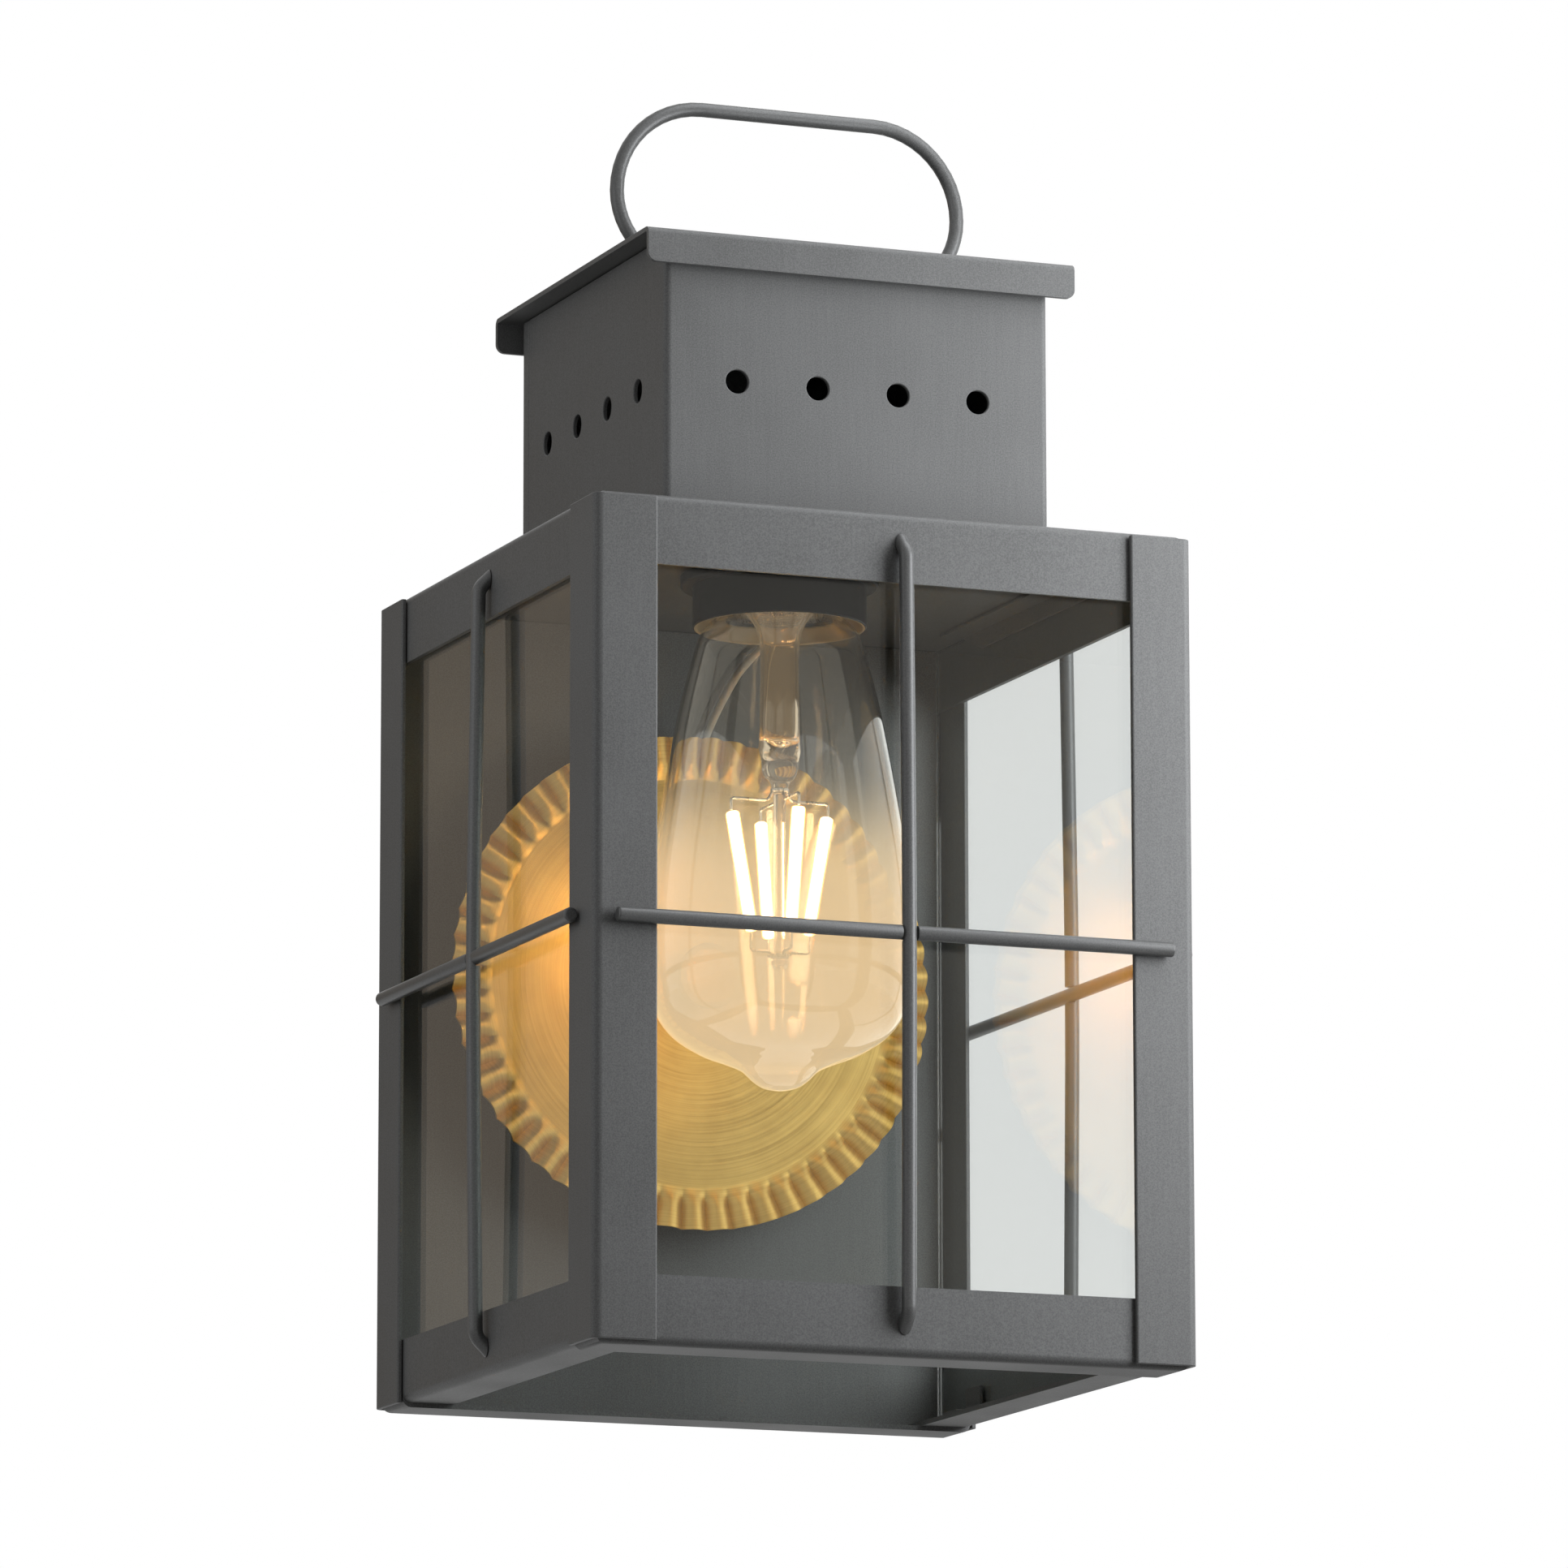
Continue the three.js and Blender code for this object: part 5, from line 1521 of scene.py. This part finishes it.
@dataclass
class Guard:
    """Round rods in front of the panes: straight ones across, and upright ones bent back to the rails."""

    rod: float = 3.5 * MM
    bend: float = 4 * MM
    spring: float = 1.1 * MM
    spring_radius: float = 2.0
    end_round: float = 0.55 * MM

    # Each face's axis across, its axis outwards and the sign of outwards
    faces = {"front": (0, 1, -1), "left": (1, 0, -1), "right": (1, 0, 1)}

    def levels(self, face: str) -> tuple[Vector, Vector, float, float]:
        """Reads a face's crossing from the frame.

        Args:
            face: The side that the bars guard.

        Returns:
            The middles of both bars, the upright's outermost level and the level of the lap.
        """
        _, out, sign = self.faces[face]
        cross = sum(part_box(f"{face}_cross_bar"), Vector()) / 2
        low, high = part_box(f"{face}_upright_bar")
        outermost = (high if sign > 0 else low)[out] - sign * self.rod / 2
        return cross, (low + high) / 2, outermost, (cross[out] + outermost) / 2

    def cross_bar(self, face: str, rods: RodTree) -> None:
        """Builds one straight bar, let in where the upright crosses it.

        Args:
            face: The side that it guards.
            rods: The tree that bends it.
        """
        node = f"{face}_cross_bar"
        across, out, sign = self.faces[face]
        cross, upright, _, lap = self.levels(face)
        ends = [moved(cross, {across: end[across]}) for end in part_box(node)]
        piece = rods.bent(f"{node}_rod", ends, [0, 0], self.rod, ROD_COAT)
        softened(piece, self.end_round, 3, BEND_ANGLE)
        half = self.rod / 2 + GAP
        near = {across: upright[across] - half, out: lap - sign * GAP / 2, 2: cross.z - self.rod}
        far = {across: upright[across] + half, out: lap + sign * self.rod, 2: cross.z + self.rod}
        dress(combined(piece, Cut.AWAY, block(moved(cross, near), moved(cross, far))), ROD_COAT, node)

    def upright_bar(self, face: str, rods: RodTree) -> None:
        """Builds one upright bar. Its ends turn in at 45 degrees and are cut flush in front of the rails.

        Args:
            face: The side that it guards.
            rods: The tree that bends it.
        """
        node = f"{face}_upright_bar"
        across, out, sign = self.faces[face]
        low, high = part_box(node)
        cross, upright, outermost, lap = self.levels(face)
        rod, r = self.rod, self.rod / 2
        rail = (low if sign > 0 else high)[out]
        axis = outermost - sign * self.spring
        reach = abs(axis - rail)
        beyond = reach + rod
        rows = [(cross.z, outermost, self.spring_radius)]
        for tip, way in ((high.z, 1), (low.z, -1)):
            turn = tip - way * (math.sqrt(2) * r + reach)
            end = [(turn + way * beyond, axis - sign * beyond, 0.0), (turn, axis, self.bend)]
            rows = [*end, *rows] if way > 0 else [*rows, *reversed(end)]
        corners = [moved(upright, {2: z, out: level}) for z, level, _ in rows]
        piece = rods.bent(f"{node}_rod", corners, [bend for _, _, bend in rows], rod, ROD_COAT)
        cutters = []
        for start, end, z0, z1 in (
            (rail, rail - sign * 4 * rod, low.z - rod, high.z + rod),
            (lap + sign * GAP / 2, lap - sign * rod, cross.z - r - GAP, cross.z + r + GAP),
        ):
            near = moved(upright, {across: upright[across] - rod, out: start, 2: z0})
            cutters.append(block(near, moved(upright, {across: upright[across] + rod, out: end, 2: z1})))
        dress(combined(piece, Cut.AWAY, *cutters), ROD_COAT, node)

    def build(self, rods: RodTree) -> None:
        """Builds the bars of all three faces."""
        for face in self.faces:
            self.cross_bar(face, rods)
            self.upright_bar(face, rods)


@dataclass
class Lampholder:
    """The cup, porcelain, screw shell and the bracket that holds them in the roof."""

    thread_pitch: float = 3.6 * MM
    thread_depth: float = 0.55 * MM
    shell_wall: float = 0.35 * MM
    cup_wall: float = 21.2 * MM
    cup_bore: float = 20.2 * MM
    cup_neck: float = 17.3 * MM
    cup_flange: float = 2.7 * MM
    cup_sheet: float = 1.2 * MM
    barrel: float = 17 * MM
    rim_height: float = 4 * MM
    floor: float = 3 * MM
    nipple_bore: float = 6.4 * MM
    screw_edge: float = 0.25 * MM
    screw_face: float = 1.1 * MM
    screw_slot: Point2 = (0.5 * MM, 4 * MM)
    slot_depth: Point2 = (-0.8 * MM, 1 * MM)

    def ring(
        self, box: Box, node: str, profile: Sequence[Point2], radii: Sequence[float], finish: Finish
    ) -> None:
        """Builds one turned piece.

        Args:
            box: Its box in the frame.
            node: The frame node that it replaces.
            profile: Its closed profile, as radius and height.
            radii: The radius of each of the profile's corners.
            finish: Its finish.
        """
        dress(turned(f"{node}_turned", rounded(profile, radii), Axis.Z, box.axis(), 96), finish, node)

    def cup(self) -> None:
        """Builds the black cup with its flange and its rolled lower rim."""
        box = Box.of("lampholder_cup")
        foot, top, flange = box.low.z, box.high.z, box.radius
        ledge, ceiling = top - self.cup_flange, top - self.cup_sheet
        outside = [(self.cup_bore, foot), (self.cup_wall, foot), (self.cup_wall, ledge), (flange, ledge)]
        inside = [(flange, top), (self.cup_neck, top), (self.cup_neck, ceiling), (self.cup_bore, ceiling)]
        radii = mm(0.4, 0.45, 0.3, 0.7, 0.2, 0.1, 0.1, 0.3)
        self.ring(box, "lampholder_cup", [*outside, *inside], radii, BLACK_PAINT)

    def porcelain(self) -> None:
        """Builds the porcelain body: a rim inside the cup and a barrel above the roof."""
        box = Box.of("lampholder_porcelain")
        foot, top, rim, barrel = box.low.z, box.high.z, box.radius, self.barrel
        bore, hole = (Box.of(f"lampholder_{part}").radius + GAP for part in ("screw_shell", "nipple"))
        step, floor = foot + self.rim_height, top - self.floor
        outside = [(bore, foot), (rim, foot), (rim, step), (barrel, step), (barrel, top)]
        inside = [(hole, top), (hole, floor), (bore, floor)]
        radii = mm(0.8, 0.8, 0.3, 0.5, 1.4, 0.5, 0.3, 0.5)
        self.ring(box, "lampholder_porcelain", [*outside, *inside], radii, PORCELAIN)

    def shell(self, walls: WallTree) -> None:
        """Rolls the thread into the brass screw shell."""
        node, box = "lampholder_screw_shell", Box.of("lampholder_screw_shell")
        length, radius = box.high.z - box.low.z, box.radius - self.thread_depth
        turns, depth, wall = -length / self.thread_pitch, self.thread_depth * 0.5, self.shell_wall
        rest = (length, turns, depth, wall, (64, 120))
        piece = walls.rolled(f"{node}_rolled", PLAIN_BRASS, (radius, radius), *rest)
        piece.data.transform(Matrix.Translation(box.axis(box.low.z)))
        dress(piece, PLAIN_BRASS, node)

    def screw(self, node: str) -> None:
        """Builds a slotted terminal screw head that faces away from the porcelain."""
        head = softened(copied(node, "head"), self.screw_edge, 3)
        middle = sum(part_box(node), Vector()) / 2
        outwards = (middle - Box.of("lampholder_nipple").axis(middle.z)).normalized()
        half, reach = self.screw_slot
        slot = prism("Slot", rectangle(-half, -reach, half, reach), Axis.Y, *self.slot_depth)
        turn = Vector((0, 1, 0)).rotation_difference(outwards).to_matrix().to_4x4()
        slot.data.transform(Matrix.Translation(middle + outwards * self.screw_face) @ turn)
        dress(combined(head, Cut.AWAY, slot), PLAIN_BRASS, node)

    def build(self, walls: WallTree) -> None:
        """Builds the lampholder."""
        self.cup()
        self.porcelain()
        self.shell(walls)
        for node in ("live_terminal_screw", "neutral_terminal_screw"):
            self.screw(node)
        dress_copies((
            ("lampholder_centre_contact", PLAIN_BRASS, 0.2 * MM),
            ("lampholder_bracket", ZINC, 0.15 * MM),
            ("lampholder_nut", PLAIN_BRASS, 0.35 * MM),
        ))
        walls.threaded("lampholder_nipple", Axis.Z, self.nipple_bore, PLAIN_BRASS)


@dataclass
class FilamentLamp:
    """The clear teardrop lamp: blown glass, screw cap, stem, support wires and four lit strips."""

    wall: float = 0.7 * MM
    neck_inset: float = 0.8 * MM
    neck_length: float = 4 * MM
    thread_pitch: float = 3.6 * MM
    thread_depth: float = 0.35 * MM
    cap_wall: float = 0.3 * MM
    shoulder: float = 2 * MM
    wire: float = 0.75 * MM
    wire_level: float = 0.5 * MM
    wire_bend: float = 0.8 * MM
    hub: Point2 = (1.55 * MM, 2.3 * MM)
    stem_wall: float = 0.9 * MM
    stem_tube: float = 4.8 * MM
    stem_rod: float = 1.5 * MM
    stem_flare: float = 7.5 * MM
    pinch_height: float = 51 * MM
    strip: float = 3.7 * MM
    strip_inset: float = 1 * MM
    strip_end: float = 0.1 * MM
    strip_round: float = 0.7 * MM
    # The painted glare on the glass: its colour, where it is full and where it fades out as shares of the
    # length, and its glow
    painted_glare: int = 0xFFE5B8
    painted_glare_span: Point2 = (0.32, 0.7)
    painted_glare_strength: float = 0.32

    # The glass as shares of its widest radius and of its length, from the tip to the neck
    outline = (
        ((0.0, 0.0), (0.12, 0.006), (0.2, 0.019), (0.25, 0.032), (0.295, 0.043), (0.36, 0.052))
        + ((0.45, 0.062), (0.63, 0.082), (0.83, 0.12), (0.95, 0.177), (1.0, 0.29), (0.975, 0.44))
        + ((0.89, 0.6), (0.77, 0.78), (0.66, 0.9), (0.59, 0.955), (0.45, 0.99))
    )

    def __post_init__(self) -> None:
        """Reads the lamp's place from the frame."""
        glass, cap = Box.of("lamp_glass"), Box.of("lamp_cap")
        self.axis, self.tip, self.radius = glass.axis(), glass.low.z, glass.radius
        self.cap_bottom, self.cap_top, self.cap_radius = cap.low.z, cap.high.z, cap.radius

    def glass(self) -> None:
        """Blows the envelope with an even wall, with painted glare on its lower part."""
        length, wall = self.cap_bottom - self.tip, self.wall
        neck, top = self.cap_radius - self.neck_inset, self.cap_bottom + self.neck_length
        bulb = smooth_line([(r * self.radius, self.tip + h * length) for r, h in self.outline])
        outer = [*bulb, (neck, self.cap_bottom - GAP), (neck, top)]
        inner = [(0.0, self.tip + wall)]
        for before, here, after in zip(outer, outer[1:], outer[2:-1]):
            along = (Vector(after) - Vector(before)).normalized()
            inner.append((max(here[0] - wall * along.y, 0.0), here[1] + wall * along.x))
        inner += [(neck - wall, self.cap_bottom), (neck - wall, top)]
        finish = ClearGlass(
            "Blown lamp glass",
            "lamp_glass",
            tint=0xFCF8F1,
            shadow=0xF4F0E8,
            glare_glow=self.painted_glare,
            glare_glow_low=self.tip + self.painted_glare_span[0] * length,
            glare_glow_high=self.tip + self.painted_glare_span[1] * length,
            glare_glow_strength=self.painted_glare_strength,
        )
        piece = turned("lamp_glass_blown", [*outer, *reversed(inner)], Axis.Z, self.axis, 128)
        dress(piece, finish, "lamp_glass", body=LAMP)

    def cap(self, walls: WallTree) -> None:
        """Rolls the threaded cap and closes it with its shoulder."""
        top, low, depth = self.cap_top, self.cap_top - self.shoulder, self.thread_depth
        length, r = low - self.cap_bottom, self.cap_radius - depth
        turns, steps = -length / self.thread_pitch, (64, 110)
        piece = walls.rolled("lamp_cap_rolled", NICKEL, (r, r), length, turns, depth, self.cap_wall, steps)
        piece.data.transform(Matrix.Translation((self.axis.x, self.axis.y, self.cap_bottom)))
        lap = low - 0.2 * MM
        cone = [(r, lap), (r, low), (r - 2.6 * MM, top), (r - 3.0 * MM, top), (r - 0.4 * MM, lap)]
        combined(piece, Cut.JOINED, turned("Shoulder", cone, Axis.Z, self.axis, 64))
        dress(piece, NICKEL, "lamp_cap", body=LAMP)
        ends = (("lamp_cap_insulator", CAP_GLASS, 0.3 * MM), ("lamp_cap_contact", NICKEL, 0.3 * MM))
        dress_copies(ends, 3, LAMP)

    def stem(self) -> None:
        """Draws the glass stem: a flared tube, a flat pinch and a thin rod with a bead at its foot."""
        box = Box.of("lamp_stem")
        foot, top, pinch, wall = box.low.z, box.high.z, box.low.z + self.pinch_height, self.stem_wall
        tube, rod, flare = self.stem_tube, self.stem_rod, self.stem_flare
        bead = [(0.0, foot), (1.9 * MM, foot + 0.8 * MM), (2.1 * MM, foot + 1.8 * MM), (rod, foot + 3.2 * MM)]
        neck = [(rod, pinch - 10 * MM), (2.4 * MM, pinch - 4 * MM), (2.7 * MM, pinch), (tube, pinch + 7 * MM)]
        flange = [(tube, top - 12 * MM), (flare, top - 4 * MM), (box.radius, top - 1 * MM)]
        hollow = [(box.radius - wall, top), (flare - wall, top - 3.2 * MM), (tube - wall, top - 11.5 * MM)]
        end = [(tube - wall, pinch + 7.6 * MM), (2 * MM, pinch + 4.5 * MM), (0.0, pinch + 3.6 * MM)]
        profile = [*smooth_line([*bead, *neck, *flange]), (box.radius, top), *smooth_line([*hollow, *end])]

        def flatten(point: Vector) -> Vector:
            """Presses the pinch flat from front to back and spreads it sideways."""
            near = math.exp(-(((point.z - pinch + 1.5 * MM) / (4.5 * MM)) ** 2))
            return Vector((point.x * (1 + 0.9 * near), point.y * (1 - 0.25 * near), point.z))

        piece = turned("lamp_stem_drawn", profile, Axis.Z, self.axis, 40, flatten)
        dress(piece, STEM_GLASS, "lamp_stem", body=LAMP)

    def support(self, node: str, upper: bool, rods: RodTree) -> None:
        """Bends the four wires that hold the strips at one end.

        Args:
            node: The frame node that they replace.
            upper: Whether they are the upper ones.
            rods: The tree that bends them.
        """
        box = Box.of(node)
        reach = box.radius - self.wire / 2
        level = box.high.z - self.wire_level if upper else box.low.z + self.wire_level
        tip = box.low.z if upper else box.high.z
        start = level + (2.5 * MM if upper else -1 * MM)
        parts = []
        for angle in (0, 90, 180, 270):
            out = Vector((math.cos(math.radians(angle)), math.sin(math.radians(angle)), 0))
            points = ((1.6 * MM, start), (3.2 * MM, level), (reach, level), (reach, tip))
            corners = [self.axis + out * r + Vector((0, 0, z)) for r, z in points]
            bends = [0, 1.5 * self.wire_bend, self.wire_bend, 0]
            parts.append(rods.bent("Wire", corners, bends, self.wire, NICKEL, 10))
        inner, outer = self.hub
        sleeve = rounded(rectangle(inner, start - 0.5 * MM, outer, start + 0.5 * MM), 0.2 * MM)
        hub = turned(f"{node}_wires", sleeve, Axis.Z, self.axis, 32)
        dress(combined(hub, Cut.JOINED, *parts), NICKEL, node, body=LAMP)

    def strips(self, rods: RodTree) -> None:
        """Builds the four lit strips with rounded ends."""
        r, end = self.strip_inset, self.strip_end
        for side, angle in (("right", 0), ("rear", 90), ("left", 180), ("front", 270)):
            node = f"lamp_filament_{side}"
            low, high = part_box(node)
            out = Vector((math.cos(math.radians(angle)), math.sin(math.radians(angle)), 0))
            along = 0 if side in ("right", "left") else 1
            near, far = sorted(abs(v[along] - self.axis[along]) for v in (low, high))
            top = self.axis + out * (far - r) + Vector((0, 0, high.z - end))
            bottom = self.axis + out * (near + r) + Vector((0, 0, low.z + end))
            piece = rods.bent(f"{node}_strip", [bottom, top], [0, 0], self.strip, PHOSPHOR, 16)
            dress(piece, PHOSPHOR, node, self.strip_round, 3, BEND_ANGLE, LAMP)

    def build(self, rods: RodTree, walls: WallTree) -> None:
        """Builds the lamp."""
        self.glass()
        self.cap(walls)
        self.stem()
        self.support("lamp_upper_support", True, rods)
        self.support("lamp_lower_support", False, rods)
        self.strips(rods)


@dataclass
class ReflectorSet:
    """The pleated reflector with its knob, and the pan, stud and strap behind it."""

    flat_radius: float = 50.9 * MM
    pleats: int = 57
    pleat_depth: float = 1.1 * MM
    run_in: float = 5 * MM
    dish: float = 1.2 * MM
    sheet: float = 0.8 * MM
    knob_neck: float = 6 * MM
    knob_head: float = 2.6 * MM

    def __post_init__(self) -> None:
        """Reads the stud and the knob from the frame."""
        self.stud, self.head = Box.of("mounting_stud"), Box.of("reflector_knob")
        self.bore = self.stud.radius + GAP

    def reflector(self, pleated: PleatTree) -> None:
        """Presses the reflector."""
        sizes = {
            "Bore radius": self.bore,
            "Flat radius": self.flat_radius,
            "Rim radius": Box.of("reflector").radius,
            "Pleats": float(self.pleats),
            "Pleat depth": self.pleat_depth,
            "Run-in": self.run_in,
            "Dish": self.dish,
            "Sheet": self.sheet,
            "Steps round": self.pleats * 16,
        }
        piece = pleated.grow("reflector_pressed", sizes, BRASS)
        piece.data.transform(Matrix.Translation((0, self.head.high.y + GAP, 0)))
        dress(piece, BRASS, "reflector")

    def knob(self) -> None:
        """Turns the knob: a flat head with a soft edge on a narrower neck."""
        low, high, radius = self.head.low.y, self.head.high.y, self.head.radius
        neck, head, bore_end = self.knob_neck, low + self.knob_head, self.stud.low.y - GAP
        face = [(0, low), (radius - 1.6 * MM, low)]
        rim = [(radius - 0.9 * MM, low + 0.25 * MM), (radius, low + 0.5 * MM)]
        behind = [(radius, head), (neck, head), (neck, high)]
        inside = [(self.bore, high), (self.bore, bore_end), (0, bore_end)]
        radii = mm(0, 0.2, 0.15, 0.4, 0.4, 0.5, 0.2, 0.1, 0.1, 0)
        profile = rounded([*face, *rim, *behind, *inside], radii, closed=False)
        piece = turned("reflector_knob_turned", profile, Axis.Y, Vector((0, 0, 0)), 96)
        dress(piece, BRASS, "reflector_knob", body=KNOB)

    def build(self, pleated: PleatTree, walls: WallTree) -> None:
        """Builds the reflector and what carries it."""
        self.reflector(pleated)
        self.knob()
        walls.threaded("mounting_stud", Axis.Y, 0.0, ZINC)
        dress_copies((
            ("wiring_pan", GRAPHITE, 0.25 * MM),
            ("mounting_strap", ZINC, 0.2 * MM),
            ("ground_screw", GREEN_ZINC, 0.5 * MM),
        ), 3)


@dataclass
class Wiring:
    """The two leads from the lampholder to the connectors behind the reflector."""

    ribs: float = 14.0
    rib_depth: float = 0.25 * MM
    wall: float = 1.1 * MM
    mouth: float = 0.55

    def build(self, walls: WallTree) -> None:
        """Builds leads, connectors and grommet."""
        for name, finish in (("live", BLACK_WIRE), ("neutral", WHITE_WIRE)):
            lead, node = f"{name}_lead", f"{name}_connector"
            dress(copied(lead, "wire"), finish, lead)
            box = Box.of(node)
            radii, length = (self.mouth * box.radius, box.radius - self.rib_depth), box.high.z - box.low.z
            rest = (length, 0.0, self.rib_depth, self.wall, (112, 40), self.ribs)
            piece = walls.rolled(f"{node}_moulded", ORANGE_PLASTIC, radii, *rest)
            piece.data.transform(Matrix.Translation(box.axis(box.low.z)))
            dress(piece, ORANGE_PLASTIC, node)
        dress_copies([("lead_grommet", RUBBER, 0.3 * MM)], 3)


def main() -> None:
    """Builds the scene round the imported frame."""
    logging.basicConfig(level=logging.INFO, format="%(name)s %(message)s")
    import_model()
    Studio().build()
    rods, walls, pleated, vents = RodTree(), WallTree(), PleatTree(), VentTree()
    SheetBody().build()
    Glazing().build()
    Chimney().build(rods, vents)
    Guard().build(rods)
    Lampholder().build(walls)
    FilamentLamp().build(rods, walls)
    ReflectorSet().build(pleated, walls)
    Wiring().build(walls)


if __name__ == "__main__":
    main()
